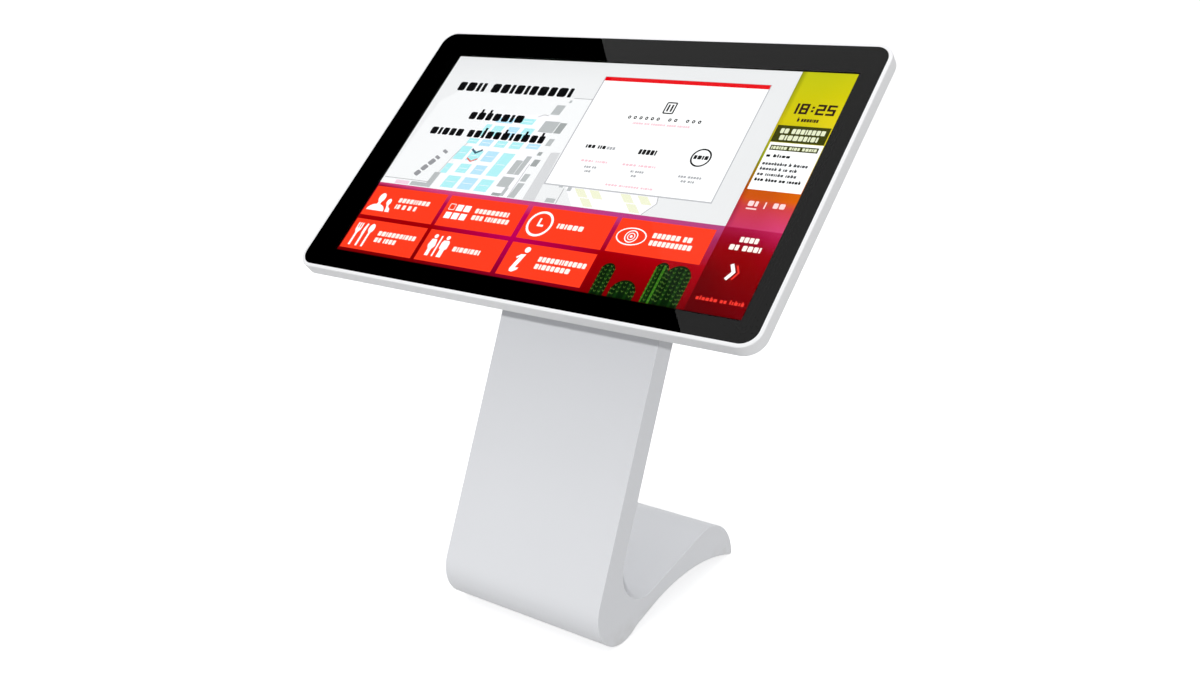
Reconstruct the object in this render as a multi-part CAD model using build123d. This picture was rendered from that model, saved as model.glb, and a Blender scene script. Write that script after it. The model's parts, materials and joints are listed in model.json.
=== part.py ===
from build123d import *

import os
from math import asin, atan2, cos, pi, radians, sin, sqrt

# Touchscreen kiosk. Millimetres and degrees, +Z up, X to the viewer's right, Y towards the rear.
# The origin is on the floor, under the middle of the bounding box.

# --- Display head: a slab tilted back like a desk ------------------------------------------
HEAD_TILT = 38.2  # slope of the glass from horizontal
GLASS_Y = -5.4  # centre of the glass face
GLASS_Z = 885.0
GLASS_W = 1053.0
GLASS_H = 631.5
GLASS_T = 4.0
GLASS_R = 30.0
GLASS_GAP = 0.4  # slot between the glass and the lip of the frame
LIP = 7.5  # white lip outside the glass
FRAME_DEPTH = 26.0  # straight side wall of the frame
FRAME_WALL = 2.5
FRAME_ROUND = 2.0  # rounded front edge of the lip
SHELF_W = 13.0  # ledge that the glass is taped to
MASK_T = 0.3  # black print behind the glass
TAPE_T = 1.5
TAPE_W = 10.0

# --- Liquid crystal panel, 43 inches across its picture -------------------------------------
PICTURE_W = 941.2
PICTURE_H = 529.4
PANEL_U = 15.5  # picture centre, right of the glass centre
PANEL_V = -8.5  # and below it
PANEL_RIM = 14.0  # metal rim of the panel outside the picture
PANEL_FRONT = 5.4  # depth of the panel's front face
PANEL_T = 13.6
PANEL_SHEET = 0.8

# --- Rear of the head ----------------------------------------------------------------------
SHEET = 1.5  # cover sheet
COVER_INSET = 1.5  # step from the frame to the rear cover
COVER_BACK = 56.0  # depth of the rear cover's flat back
COVER_R = 36.0
HOOD_V = 52.0  # centre of the electronics hood
HOOD_W = 760.0
HOOD_H = 430.0
HOOD_R = 50.0
HOOD_BACK = 100.0
HOOD_RIM = 8.0  # flange round the hood
CHASSIS_D = 31.0  # depth of the plate that carries the boards
CHASSIS_T = 2.0
RAIL_U = 330.0
RAIL_W = 50.0
RAIL_D = 12.0
FAN_U = 268.0
FAN_V = 20.0
FAN_SIZE = 80.0
FAN_T = 25.0
FAN_BORE = 38.0
FAN_BLADES = 7
SPEAKER_U = 385.0
SPEAKER_V = -205.0
BUTTON_U = 470.0
BUTTON_V = -245.0
BUTTON_R = 7.7
BUTTON_TRAVEL = 2.0

# --- Electronics: each place is (u, v, width, height) ---------------------------------------
BOARD_D = CHASSIS_D + CHASSIS_T + 7.0
BOARD_T = 1.6
MAINBOARD = (0.0, -28.0, 170.0, 150.0)
DRIVER = (235.0, -55.0, 150.0, 90.0)
TOUCH_BOARD = (235.0, 130.0, 80.0, 45.0)
SUPPLY = (-235.0, -55.0, 170.0, 100.0)
SUPPLY_T = 34.0
SUPPLY_SHEET = 1.5
FIN_PITCH = 5.0
FIN_COUNT = 13
FIN_T = 1.6
SINK = 62.0  # side of the heatsink
SINK_BASE = 4.0
SINK_RISE = 22.0

# --- Neck: the joint between head and column ------------------------------------------------
NECK_T = 6.0
FLANGE_LOW = 36.0  # plate beyond the column, for the bolts, under its leaning front
FLANGE_HIGH = 24.0  # and above its back
BOLT_EDGE = 11.0  # bolt centre to plate edge
NECK_HOLE_W = 90.0
NECK_HOLE_H = 44.0
BOLT_R = 4.0
BOLT_HEAD_R = 7.0
BOLT_HEAD_T = 4.4
BOLT_U = 140.0

# --- Stand: a leaning column that turns into an arched foot ---------------------------------
STAND_W = 386.6
COLUMN_LEAN = 26.8  # from vertical
COLUMN_T = 50.0
FRONT_Y = -313.6  # where the front of the column would meet the floor
ROUND_R = 77.0  # rolled front of the foot
PAD_T = 1.5  # the shell stands this far off the floor, on rubber pads
BLEND_R = 60.0  # hollow between the rolled front and the arch
ARCH_R = 452.5
ARCH_Y = 19.0
ARCH_TOP = 41.0
ARCH_FLAT_Y = -90.0  # from here forward the arch runs straight
TAIL_R = 98.0
TAIL_Y = 115.0
TAIL_Z = 5.0
FOOT_SLOPE = 11.4
CROTCH_R = 75.0  # inner round between column and foot
SIDE_T = 3.0
EDGE_ROUND = 1.0  # dressed edge of the side plates
SKIN_T = 2.5
RIB_X = 128.0
RIB_T = 3.0
BALLAST_R = 32.0
BALLAST_L = 250.0

# --- Service door in the back of the column -------------------------------------------------
DOOR_W = 200.0
DOOR_LOW = 330.0  # measured along the column from the floor
DOOR_HIGH = 630.0
DOOR_T = 2.0
DOOR_GAP = 1.5
BARREL_R = 4.0
BARREL_STAND = 4.4  # hinge axis outside the back face
PIN_R = 2.0
RUNNING = 0.05  # radial clearance of a turning fit
KNUCKLE = 20.0
KNUCKLE_GAP = 0.4
LEAF_W = 22.0
LEAF_T = 1.5
RIVET_R = 1.6
LOCK_X = 82.0
LOCK_R = 9.0
LOCK_CORE_R = 6.5
CAM_T = 2.8
CAM_REACH = 26.0
CAM_D = 41.0  # nearest face of the cam, measured from the column's front

# --- Mains inlet and switch at the back of the foot -----------------------------------------
ENTRY_FACE = 190.0  # y of the recessed face that carries them
ENTRY_Z = 31.0
ENTRY_HALF_X = 40.0
ENTRY_HALF_Z = 17.0
ENTRY_WALL = 4.0
INLET_X = -18.0
INLET_HALF_X = 14.0  # half the body of the appliance inlet
INLET_HALF_Z = 10.0
INLET_WALL = 2.0  # of its shroud, and the flange's reach beyond it
INLET_DEEP = 20.0
INLET_FLOOR = 4.0  # thickness behind the cavity
PIN_HALF_X = 1.0
PIN_HALF_Z = 2.0
PIN_L = 10.0
SWITCH_X = 18.0
SWITCH_HALF_X = 9.5  # half the body of the switch
SWITCH_HALF_Z = 12.5
SWITCH_WALL = 1.3
SWITCH_DEEP = 16.0
SWITCH_FLANGE = 1.5
AXLE_R = 1.5
ROCKER_TILT = 10.0

FAR = 2000.0  # larger than anything in the model

HEAD = Pos(0, GLASS_Y, GLASS_Z) * Rot(HEAD_TILT, 0, 0)
COLUMN = Pos(0, FRONT_Y, 0) * Rot(-COLUMN_LEAN, 0, 0)

FRAME_W = GLASS_W + 2 * LIP
FRAME_H = GLASS_H + 2 * LIP
FRAME_R = GLASS_R + LIP
SHELF_D = GLASS_T + MASK_T + TAPE_T
NECK_BACK = HOOD_BACK + NECK_T
HALF_STAND = STAND_W / 2 - SIDE_T  # inner faces of the side plates
INLET_MOUTH = ENTRY_FACE + 2.0  # y of the inlet's flange
DOOR_MID = (DOOR_LOW + DOOR_HIGH) / 2
HINGE_X = -DOOR_W / 2 - DOOR_GAP / 2
HINGE_N = COLUMN_T + BARREL_STAND


# --- Helpers --------------------------------------------------------------------------------
def slab(width, height, near, far, radius=0.0, u=0.0, v=0.0):
    """Plate in the head's own axes, between two depths behind the glass face."""
    outline = RectangleRounded(width, height, radius) if radius else Rectangle(width, height)
    return Pos(u, v, -far) * extrude(outline, far - near)


def rod(radius, near, far, u=0.0, v=0.0):
    """Round bar in the head's own axes, between two depths."""
    return Pos(u, v, -(near + far) / 2) * Cylinder(radius, far - near)


def block(x, y, z):
    """Box from three (low, high) pairs."""
    size = [high - low for low, high in (x, y, z)]
    centre = [(low + high) / 2 for low, high in (x, y, z)]
    return Pos(*centre) * Box(*size)


def join(shapes):
    """Union of a list of solids."""
    return Part() + list(shapes)


def group(shapes):
    """Separate solids kept in one node."""
    return Compound(children=[solid for shape in shapes for solid in shape.solids()])


def save(name, shape):
    """Write one node as a STEP file."""
    export_step(shape, f"parts/{name}.step")


def wedge_shell(width, height, radius, near, far, thickness, v=0.0):
    """Tray with sides sloping in at 45 degrees, open towards the glass."""

    def frustum(inset, last):
        depth = last - near
        low = RectangleRounded(width - 2 * inset, height - 2 * inset, radius - inset)
        shrink = 2 * (inset + depth)
        small = max(radius - inset - depth, 5.0)
        top = RectangleRounded(width - shrink, height - shrink, small)
        return loft([Pos(0, v, -near) * low, Pos(0, v, -last) * top])

    return frustum(0.0, far) - frustum(thickness * sqrt(2), far - thickness)


def arc_about(centre, start, end, clockwise):
    """Arc round a centre from start to end, the given way round."""
    first = atan2(start.Y - centre.Y, start.X - centre.X)
    last = atan2(end.Y - centre.Y, end.X - centre.X)
    turn = (first - last) % (2 * pi) if clockwise else (last - first) % (2 * pi)
    middle = first - turn / 2 if clockwise else first + turn / 2
    radius = (start - centre).length
    return ThreePointArc(start, centre + radius * Vector(cos(middle), sin(middle)), end)


def touching_centre(foot, along, centre, distance):
    """First point on a line, going along it from its foot, at a distance from a centre."""
    offset = foot - centre
    lean = offset.dot(along)
    step = -lean - sqrt(lean**2 - offset.dot(offset) + distance**2)
    return foot + along * step


# --- The stand's side view, in (y, z) --------------------------------------------------------
UP = Vector(sin(radians(COLUMN_LEAN)), cos(radians(COLUMN_LEAN)))
BACK = Vector(cos(radians(COLUMN_LEAN)), -sin(radians(COLUMN_LEAN)))
FOOT_UP = Vector(-sin(radians(FOOT_SLOPE)), cos(radians(FOOT_SLOPE)))
FOOT_ALONG = Vector(cos(radians(FOOT_SLOPE)), sin(radians(FOOT_SLOPE)))
TOE = Vector(FRONT_Y, 0)
ROUND_S = (ROUND_R * (1 + sin(radians(COLUMN_LEAN))) + PAD_T) / cos(radians(COLUMN_LEAN))
ROUND_C = TOE + BACK * ROUND_R + UP * ROUND_S
ARCH_C = Vector(ARCH_Y, ARCH_TOP - ARCH_R)
ARCH_TURN = asin((ARCH_FLAT_Y - ARCH_Y) / ARCH_R)
ARCH_OUT = Vector(sin(ARCH_TURN), cos(ARCH_TURN))  # from the arch's centre to its last point
ARCH_ALONG = Vector(-cos(ARCH_TURN), sin(ARCH_TURN))
BLEND_C = touching_centre(ARCH_C + ARCH_OUT * (ARCH_R - BLEND_R), ARCH_ALONG, ROUND_C, ROUND_R + BLEND_R)
TAIL_C = Vector(TAIL_Y, TAIL_Z)


def crotch_centre():
    """Centre of the inner round: CROTCH_R from both the column's back and the foot's top."""
    reach = COLUMN_T + CROTCH_R
    rise = TAIL_R + CROTCH_R
    base = TAIL_C + FOOT_UP * rise
    slide = (reach - (base - TOE).dot(BACK)) / FOOT_ALONG.dot(BACK)
    return base + FOOT_ALONG * slide


CROTCH_C = crotch_centre()


def neck_point(offset):
    """Where a line along the column, offset behind its front, meets the neck plate."""
    into = Vector(sin(radians(HEAD_TILT)), -cos(radians(HEAD_TILT)))
    start = TOE + BACK * offset
    glass = Vector(GLASS_Y, GLASS_Z)
    return start + UP * ((NECK_BACK - (start - glass).dot(into)) / UP.dot(into))


def stand_outline(inset):
    """Side view of the stand, drawn in by a wall thickness."""
    front = TOE + BACK * inset
    round_start = front + UP * ROUND_S
    to_blend = (BLEND_C - ROUND_C).normalized()
    blend_start = ROUND_C + to_blend * (ROUND_R - inset)
    blend_end = BLEND_C + ARCH_OUT * (BLEND_R + inset)
    arch_start = ARCH_C + ARCH_OUT * (ARCH_R + inset)
    floor_z = PAD_T + inset
    arch_reach = sqrt((ARCH_R + inset) ** 2 - (floor_z - ARCH_C.Y) ** 2)
    arch_end = Vector(ARCH_Y + arch_reach, floor_z)
    tip = Vector(TAIL_Y + TAIL_R - inset, floor_z)
    tail_start = Vector(TAIL_Y + TAIL_R - inset, TAIL_Z)
    tail_end = TAIL_C + FOOT_UP * (TAIL_R - inset)
    crotch_start = CROTCH_C - FOOT_UP * (CROTCH_R + inset)
    crotch_end = CROTCH_C - BACK * (CROTCH_R + inset)
    top_back = neck_point(COLUMN_T - inset)
    top_front = neck_point(inset)
    edges = [
        Line(top_front, round_start),
        arc_about(ROUND_C, round_start, blend_start, False),
        arc_about(BLEND_C, blend_start, blend_end, True),
        Line(blend_end, arch_start),
        arc_about(ARCH_C, arch_start, arch_end, True),
        Line(arch_end, tip),
        Line(tip, tail_start),
        arc_about(TAIL_C, tail_start, tail_end, False),
        Line(tail_end, crotch_start),
        arc_about(CROTCH_C, crotch_start, crotch_end, True),
        Line(crotch_end, top_back),
        Line(top_back, top_front),
    ]
    return make_face(edges)


def across(face, low_x, high_x):
    """Extrude a side-view face from one x to another."""
    return Pos(low_x, 0, 0) * extrude(Plane.YZ * face, high_x - low_x)


def region(*points):
    """Side-view polygon."""
    return make_face(Polyline(*points, close=True))


MID_TOP = TOE + BACK * (COLUMN_T / 2) + UP * FAR
MID_LOW = TOE + BACK * 20.0 + UP * 220.0
BLEND_FAR = ROUND_C + (BLEND_C - ROUND_C) * 3
CROTCH_CUT = CROTCH_C - FOOT_UP * (CROTCH_R + 15.0)
TAIL_CUT_Y = TAIL_Y + TAIL_R - 12.0
INSIDE_FOOT = [
    Vector(TAIL_CUT_Y, 20),
    Vector(TAIL_Y, 45),
    Vector(ARCH_Y, ARCH_TOP + 8),
    Vector(FRONT_Y + 219, 45),
]

FRONT_REGION = [MID_TOP, MID_LOW, ROUND_C, BLEND_FAR, Vector(-FAR, -FAR), Vector(-FAR, FAR)]
ARCH_REGION = [ROUND_C, BLEND_FAR, Vector(TAIL_CUT_Y, -FAR), *INSIDE_FOOT]
FOOT_REGION = [Vector(TAIL_CUT_Y, -FAR), Vector(FAR, -FAR), Vector(FAR, CROTCH_C.Y), CROTCH_C, CROTCH_CUT]
FOOT_REGION += INSIDE_FOOT[2::-1]
BACK_REGION = [CROTCH_CUT, CROTCH_C, Vector(FAR, CROTCH_C.Y), Vector(FAR, FAR), MID_TOP, MID_LOW, ROUND_C]


# --- Stand ------------------------------------------------------------------------------------
def skin(points):
    """Length of wrapped sheet between the side plates, inside one region of the side view."""
    wall = stand_outline(0) - stand_outline(SKIN_T)
    return across(wall & region(*points), -HALF_STAND, HALF_STAND)


def column_slice(low, high):
    """Everything between two heights measured along the column."""
    return COLUMN * block((-FAR, FAR), (-FAR, FAR), (low, high))


def side_plate(side):
    """Flat side, its outer edge dressed round except along the neck and the floor."""
    inner = side * HALF_STAND
    outer = side * STAND_W / 2
    plate = across(stand_outline(0), min(inner, outer), max(inner, outer))
    neck_z = min(neck_point(0).Y, neck_point(COLUMN_T).Y)
    face = plate.faces().sort_by(Axis.X)[-1 if side > 0 else 0]
    edges = [edge for edge in face.edges() if PAD_T + 0.1 < edge.center().Z < neck_z]
    return fillet(edges, EDGE_ROUND)


def rib(side):
    """Inner stiffener with lightening holes up the column."""
    plate = across(stand_outline(SKIN_T), side * RIB_X - RIB_T / 2, side * RIB_X + RIB_T / 2)
    holes = [
        COLUMN * Pos(side * RIB_X, COLUMN_T / 2, 260 + 90 * step) * Rot(0, 90, 0) * SlotOverall(70, 26)
        for step in range(8)
    ]
    return plate - join(extrude(hole, RIB_T, both=True) for hole in holes)


def door_window():
    """Hole that the door closes."""
    half = DOOR_W / 2 + DOOR_GAP
    span = (DOOR_LOW - DOOR_GAP, DOOR_HIGH + DOOR_GAP)
    return COLUMN * block((-half, half), (COLUMN_T - 10, COLUMN_T + 10), span)


def entry_box(grow=0.0):
    """Space of the moulding that carries the mains inlet and switch."""
    x = ENTRY_HALF_X + grow
    z = ENTRY_HALF_Z + grow
    return block((-x, x), (ENTRY_FACE - SKIN_T, FAR), (ENTRY_Z - z, ENTRY_Z + z))


def foot_pad(low_y, high_y, x, half_length):
    """Rubber strip between the shell and the floor."""
    strip = block((x - half_length, x + half_length), (low_y, high_y), (0, 9))
    return strip - across(stand_outline(0), -STAND_W / 2, STAND_W / 2)


def neck_span():
    """Lowest and highest v of the neck plate."""
    return head_v(neck_point(0)) - FLANGE_LOW, head_v(neck_point(COLUMN_T)) + FLANGE_HIGH


def neck_plate():
    low, high = neck_span()
    plate = slab(STAND_W, high - low, HOOD_BACK, NECK_BACK, 12, 0, (low + high) / 2)
    hole = slab(NECK_HOLE_W, NECK_HOLE_H, HOOD_BACK, NECK_BACK, 12, 0, cable_v())
    return plate - hole - join(rod(BOLT_R + 0.2, HOOD_BACK, NECK_BACK, u, v) for u, v in bolt_places())


def head_v(point):
    """Position of a side-view point up the slope of the head."""
    return (point - Vector(GLASS_Y, GLASS_Z)).dot(Vector(cos(radians(HEAD_TILT)), sin(radians(HEAD_TILT))))


def cable_v():
    """Where the leads pass through the neck."""
    return (head_v(neck_point(0)) + head_v(neck_point(COLUMN_T))) / 2


def bolt_places():
    low, high = neck_span()
    return [(u, v) for u in (-BOLT_U, 0.0, BOLT_U) for v in (low + BOLT_EDGE, high - BOLT_EDGE)]


def socket_bolt(u, v):
    """Cap bolt from the back of the neck plate into the backing plate."""
    head = rod(BOLT_HEAD_R, NECK_BACK, NECK_BACK + BOLT_HEAD_T, u, v)
    recess = Pos(u, v, -NECK_BACK - BOLT_HEAD_T) * extrude(RegularPolygon(3.0, 6), 2.4)
    return head - recess + rod(BOLT_R, HOOD_BACK - SHEET - NECK_T, NECK_BACK, u, v)


def neck_backing():
    """Plate inside the hood that takes the neck bolts."""
    low, high = neck_span()
    span = (HOOD_BACK - SHEET - NECK_T, HOOD_BACK - SHEET)
    plate = slab(STAND_W - 20, high - low, *span, 8, 0, (low + high) / 2)
    hole = slab(NECK_HOLE_W, NECK_HOLE_H, *span, 12, 0, cable_v())
    return plate - hole - join(rod(BOLT_R, *span, u, v) for u, v in bolt_places())


def load_channel(side):
    """Channel that carries the head's weight from the chassis to the neck."""
    near = CHASSIS_D + CHASSIS_T
    far = HOOD_BACK - SHEET - NECK_T
    v = cable_v()
    height = 150.0
    web = slab(3, height, near, far, 0, side * 160, v)
    near_foot = slab(30, height, near, near + 3, 0, side * 146.5, v)
    far_foot = slab(30, height, far - 3, far, 0, side * 146.5, v)
    return join([web, near_foot, far_foot])


# --- Mains entry ------------------------------------------------------------------------------
def power_bezel():
    shell = entry_box() & across(stand_outline(0), -ENTRY_HALF_X, ENTRY_HALF_X)
    x = ENTRY_HALF_X - ENTRY_WALL
    z = ENTRY_HALF_Z - 3.0
    pocket = block((-x, x), (ENTRY_FACE, FAR), (ENTRY_Z - z, ENTRY_Z + z))
    inlet = entry_block(INLET_X, INLET_HALF_X, INLET_HALF_Z, 0, FAR)
    switch = entry_block(SWITCH_X, SWITCH_HALF_X, SWITCH_HALF_Z, 0, FAR)
    return shell - pocket - inlet - switch


def entry_block(x, half_x, half_z, low_y, high_y):
    """Box about a point of the mains entry."""
    return block((x - half_x, x + half_x), (low_y, high_y), (ENTRY_Z - half_z, ENTRY_Z + half_z))


def mains_inlet():
    """Three-pin appliance inlet: a shroud with a cavity for the connector."""
    wide, high, wall = INLET_HALF_X, INLET_HALF_Z, INLET_WALL
    flange = entry_block(INLET_X, wide + wall, high + wall, ENTRY_FACE, INLET_MOUTH)
    body = entry_block(INLET_X, wide, high, INLET_MOUTH - INLET_DEEP, ENTRY_FACE)
    floor_y = INLET_MOUTH - INLET_DEEP + INLET_FLOOR
    cavity = entry_block(INLET_X, wide - wall, high - wall, floor_y, INLET_MOUTH)
    corners = cavity.edges().filter_by(Axis.Y).sort_by(Axis.Z)[-2:]
    return flange + body - chamfer(corners, 4.0)


def inlet_pins():
    """Earth pin in the middle, higher than the other two."""
    root = INLET_MOUTH - INLET_DEEP + INLET_FLOOR
    pin = block((-PIN_HALF_X, PIN_HALF_X), (root, root + PIN_L), (-PIN_HALF_Z, PIN_HALF_Z))
    return group(Pos(INLET_X + x, 0, ENTRY_Z + z) * pin for x, z in [(-7, -2), (0, 2), (7, -2)])


def switch_housing():
    """Snap-in case with the axle that the rocker key turns on."""
    wide, high = SWITCH_HALF_X, SWITCH_HALF_Z
    flange = entry_block(SWITCH_X, wide + 2.5, high + 1.5, ENTRY_FACE, ENTRY_FACE + SWITCH_FLANGE)
    body = entry_block(SWITCH_X, wide, high, ENTRY_FACE - SWITCH_DEEP, ENTRY_FACE)
    floor_y = ENTRY_FACE - SWITCH_DEEP + 2
    cavity = entry_block(SWITCH_X, wide - SWITCH_WALL, high - SWITCH_WALL, floor_y, FAR)
    axle = Cylinder(AXLE_R, 2 * (wide - SWITCH_WALL))
    return flange + body - cavity + Pos(SWITCH_X, ENTRY_FACE - 1, ENTRY_Z) * Rot(0, 90, 0) * axle


def rocker():
    """Seesaw key on the switch axle, tilted to its on side at rest."""
    profile = region((-4.5, -7.5), (-4.5, 7.5), (3.5, 10.2), (1.8, 0), (3.5, -10.2))
    half = SWITCH_HALF_X - SWITCH_WALL - 0.4
    key = extrude(Plane.YZ * profile, half, both=True) - Rot(0, 90, 0) * Cylinder(AXLE_R + RUNNING, 30)
    return Pos(SWITCH_X, ENTRY_FACE - 1, ENTRY_Z) * Rot(-ROCKER_TILT, 0, 0) * key


# --- Service door, in column axes: x across, y behind the front face, z along the column -------
def rivet_places(side):
    """Rivets of both hinges, on the jamb (-1) or on the door (+1)."""
    x = HINGE_X + side * (LEAF_W - 7)
    return [(x, hinge + step) for hinge in hinge_places() for step in (-22, 0, 22)]


def hinge_places():
    return [DOOR_LOW + 55, DOOR_HIGH - 55]


def rivet(x, s):
    """Flat-headed rivet through a leaf and the sheet under it."""
    shank = block_rod(x, s, RIVET_R, COLUMN_T - DOOR_T, COLUMN_T + LEAF_T)
    head = block_rod(x, s, RIVET_R + 1.2, COLUMN_T + LEAF_T, COLUMN_T + LEAF_T + 1)
    return shank + head


def block_rod(x, s, radius, low, high):
    """Round bar across the column's thickness."""
    return Pos(x, (low + high) / 2, s) * Rot(90, 0, 0) * Cylinder(radius, high - low)


def barrel(s, radius, length):
    """Round bar along the hinge axis."""
    return Pos(HINGE_X, HINGE_N, s) * Cylinder(radius, length)


def hinge_leaf(s, side):
    """One leaf of a three-knuckle hinge: the jamb's has two knuckles and the door's has one."""
    span = 3 * KNUCKLE + 2 * KNUCKLE_GAP
    outer = HINGE_X + side * LEAF_W
    inner = HINGE_X + side * (BARREL_R + 0.8)
    x = (min(outer, inner), max(outer, inner))
    leaf = block(x, (COLUMN_T, COLUMN_T + LEAF_T), (s - span / 2, s + span / 2))
    steps = (0,) if side > 0 else (-1, 1)
    for step in steps:
        middle = s + step * (KNUCKLE + KNUCKLE_GAP)
        web_x = (min(HINGE_X, inner), max(HINGE_X, inner))
        ends = (middle - KNUCKLE / 2, middle + KNUCKLE / 2)
        leaf += block(web_x, (COLUMN_T, COLUMN_T + LEAF_T), ends) + barrel(middle, BARREL_R, KNUCKLE)
    leaf -= barrel(s, PIN_R + RUNNING, span + 2)
    holes = [block_rod(x, z, RIVET_R, 0, 2 * COLUMN_T) for x, z in rivet_places(side) if abs(z - s) < span]
    return leaf - join(holes)


def hinge_pin(s):
    """Pin with a head at each end."""
    half = (3 * KNUCKLE + 2 * KNUCKLE_GAP) / 2
    heads = [barrel(s + end * (half + 0.75), PIN_R + 1.4, 1.5) for end in (-1, 1)]
    return join([barrel(s, PIN_R, 2 * half), *heads])


def door_panel():
    """Flush sheet with a stiffening frame welded inside."""
    half = DOOR_W / 2
    sheet = block((-half, half), (COLUMN_T - DOOR_T, COLUMN_T), (DOOR_LOW, DOOR_HIGH))
    back = COLUMN_T - DOOR_T
    frame = block((-half + 14, half - 38), (back - 10, back), (DOOR_LOW + 14, DOOR_HIGH - 14))
    inner = block((-half + 16, half - 40), (0, back), (DOOR_LOW + 16, DOOR_HIGH - 16))
    holes = [block_rod(x, s, RIVET_R, 0, 2 * COLUMN_T) for x, s in rivet_places(1)]
    return sheet + (frame - inner) - join(holes) - block_rod(LOCK_X, DOOR_MID, LOCK_R, 0, 2 * COLUMN_T)


def lock_housing():
    end = CAM_D + CAM_T + 0.3
    body = block_rod(LOCK_X, DOOR_MID, LOCK_R, end, COLUMN_T)
    flange = block_rod(LOCK_X, DOOR_MID, LOCK_R + 3.5, COLUMN_T, COLUMN_T + 2)
    rim = flange.edges().filter_by(GeomType.CIRCLE).sort_by(Axis.Y)[-1]
    return body + chamfer(rim, 0.8) - block_rod(LOCK_X, DOOR_MID, LOCK_CORE_R + RUNNING, 0, 2 * COLUMN_T)


def lock_nut():
    hexagon = extrude(RegularPolygon(12.5, 6, major_radius=False), 3.0)
    nut = Pos(LOCK_X, COLUMN_T - DOOR_T, DOOR_MID) * Rot(90, 0, 0) * hexagon
    return nut - block_rod(LOCK_X, DOOR_MID, LOCK_R, 0, 2 * COLUMN_T)


def lock_core():
    """Turning plug with a key slot."""
    plug = block_rod(LOCK_X, DOOR_MID, LOCK_CORE_R, CAM_D + CAM_T, COLUMN_T + 1.6)
    slot = block((LOCK_X - 0.9, LOCK_X + 0.9), (COLUMN_T - 4, COLUMN_T + 4), (DOOR_MID - 3.8, DOOR_MID + 3.8))
    return plug - slot


def lock_cam():
    """Tongue that points up the column when unlocked."""
    arm = Pos(0, (CAM_REACH - 8) / 2) * SlotOverall(CAM_REACH + 8, 16, rotation=90)
    plate = extrude(arm, CAM_T)
    return Pos(LOCK_X, CAM_D + CAM_T, DOOR_MID) * Rot(90, 0, 0) * plate


def cam_screw():
    """Screw that holds the cam on the plug."""
    return block_rod(LOCK_X, DOOR_MID, 4.0, CAM_D - 2.2, CAM_D)


def strike_plate():
    """Packing behind the jamb that the cam turns under."""
    low = DOOR_W / 2 + DOOR_GAP
    depth = (CAM_D + CAM_T + 0.4, COLUMN_T - SKIN_T)
    return block((low, low + 16), depth, (DOOR_MID - 22, DOOR_MID + 22))


# --- Display head, in head axes: x across, y up the slope, z out of the glass -------------------
def front_frame():
    """Housing ring: a lip round the glass, a ledge under it and a side wall."""
    ring = slab(FRAME_W, FRAME_H, 0, FRAME_DEPTH, FRAME_R)
    front = ring.faces().sort_by(Axis.Z)[-1]
    ring = fillet(front.edges(), FRAME_ROUND)
    seat = slab(GLASS_W + 2 * GLASS_GAP, GLASS_H + 2 * GLASS_GAP, 0, SHELF_D, GLASS_R + GLASS_GAP)
    window = slab(GLASS_W - 2 * SHELF_W, GLASS_H - 2 * SHELF_W, 0, FRAME_DEPTH, GLASS_R - SHELF_W)
    inner_r = FRAME_R - FRAME_WALL
    width = FRAME_W - 2 * FRAME_WALL
    height = FRAME_H - 2 * FRAME_WALL
    hollow = slab(width, height, SHELF_D + FRAME_WALL, FRAME_DEPTH, inner_r)
    return ring - seat - window - hollow


def border_mask():
    sheet = slab(GLASS_W, GLASS_H, GLASS_T, GLASS_T + MASK_T, GLASS_R)
    return sheet - slab(PICTURE_W + 2, PICTURE_H + 2, GLASS_T, GLASS_T + MASK_T, 0, PANEL_U, PANEL_V)


def glass_tape():
    near = GLASS_T + MASK_T
    outer = slab(GLASS_W - 2, GLASS_H - 2, near, SHELF_D, GLASS_R - 1)
    return outer - slab(GLASS_W - 2 - 2 * TAPE_W, GLASS_H - 2 - 2 * TAPE_W, near, SHELF_D, GLASS_R - TAPE_W)


def panel_slab(grow, near, far):
    """Plate round the picture, grown on every side."""
    return slab(PICTURE_W + 2 * grow, PICTURE_H + 2 * grow, near, far, 0, PANEL_U, PANEL_V)


def panel_bezel():
    """Pressed metal rim that holds the panel together."""
    back = PANEL_FRONT + PANEL_T
    shell = panel_slab(PANEL_RIM, PANEL_FRONT, back)
    hollow = panel_slab(PANEL_RIM - PANEL_SHEET, PANEL_FRONT + PANEL_SHEET, back)
    return shell - hollow - panel_slab(2, PANEL_FRONT, back)


def backlight_pan():
    """Tray behind the light guide."""
    near = PANEL_FRONT + 3.6
    back = PANEL_FRONT + PANEL_T - 1.6
    shell = panel_slab(PANEL_RIM - 1.2, near, back)
    return shell - panel_slab(PANEL_RIM - 2.0, near, back - PANEL_SHEET)


def led_strip(side):
    """Bar of lamps facing an edge of the light guide."""
    near = PANEL_FRONT + 4.0
    far = near + 5.0
    v = PANEL_V + side * (PICTURE_H / 2 + 9)
    bar = slab(PICTURE_W, 3, near, far, 0, PANEL_U, v)
    pitch = PICTURE_W / 40
    chip_v = v - side * 2.2
    chips = [slab(6, 1.4, near + 1, far - 1, 0, PANEL_U + pitch * (n - 19.5), chip_v) for n in range(40)]
    return join([bar, *chips])


def panel_rail(side):
    """Hat-section upright that hangs the panel in the frame."""
    height = FRAME_H - 22.0
    near = CHASSIS_D - RAIL_D
    body = slab(RAIL_W, height, near, CHASSIS_D, 0, side * RAIL_U)
    body -= slab(RAIL_W - 24, height, near, CHASSIS_D - 2, 0, side * RAIL_U)
    foot = (FRAME_H - 2 * FRAME_WALL - height) / 2
    end_v = (height + foot) / 2
    ends = [slab(RAIL_W, foot, near, near + 3, 0, side * RAIL_U, v) for v in (-end_v, end_v)]
    return join([body, *ends])


def chassis_plate():
    plate = slab(640, 380, CHASSIS_D, CHASSIS_D + CHASSIS_T, 10, 0, 50)
    slots = [slab(60, 14, CHASSIS_D, CHASSIS_D + CHASSIS_T, 6, u, -105) for u in (-180, 180)]
    return plate - join(slots)


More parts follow.
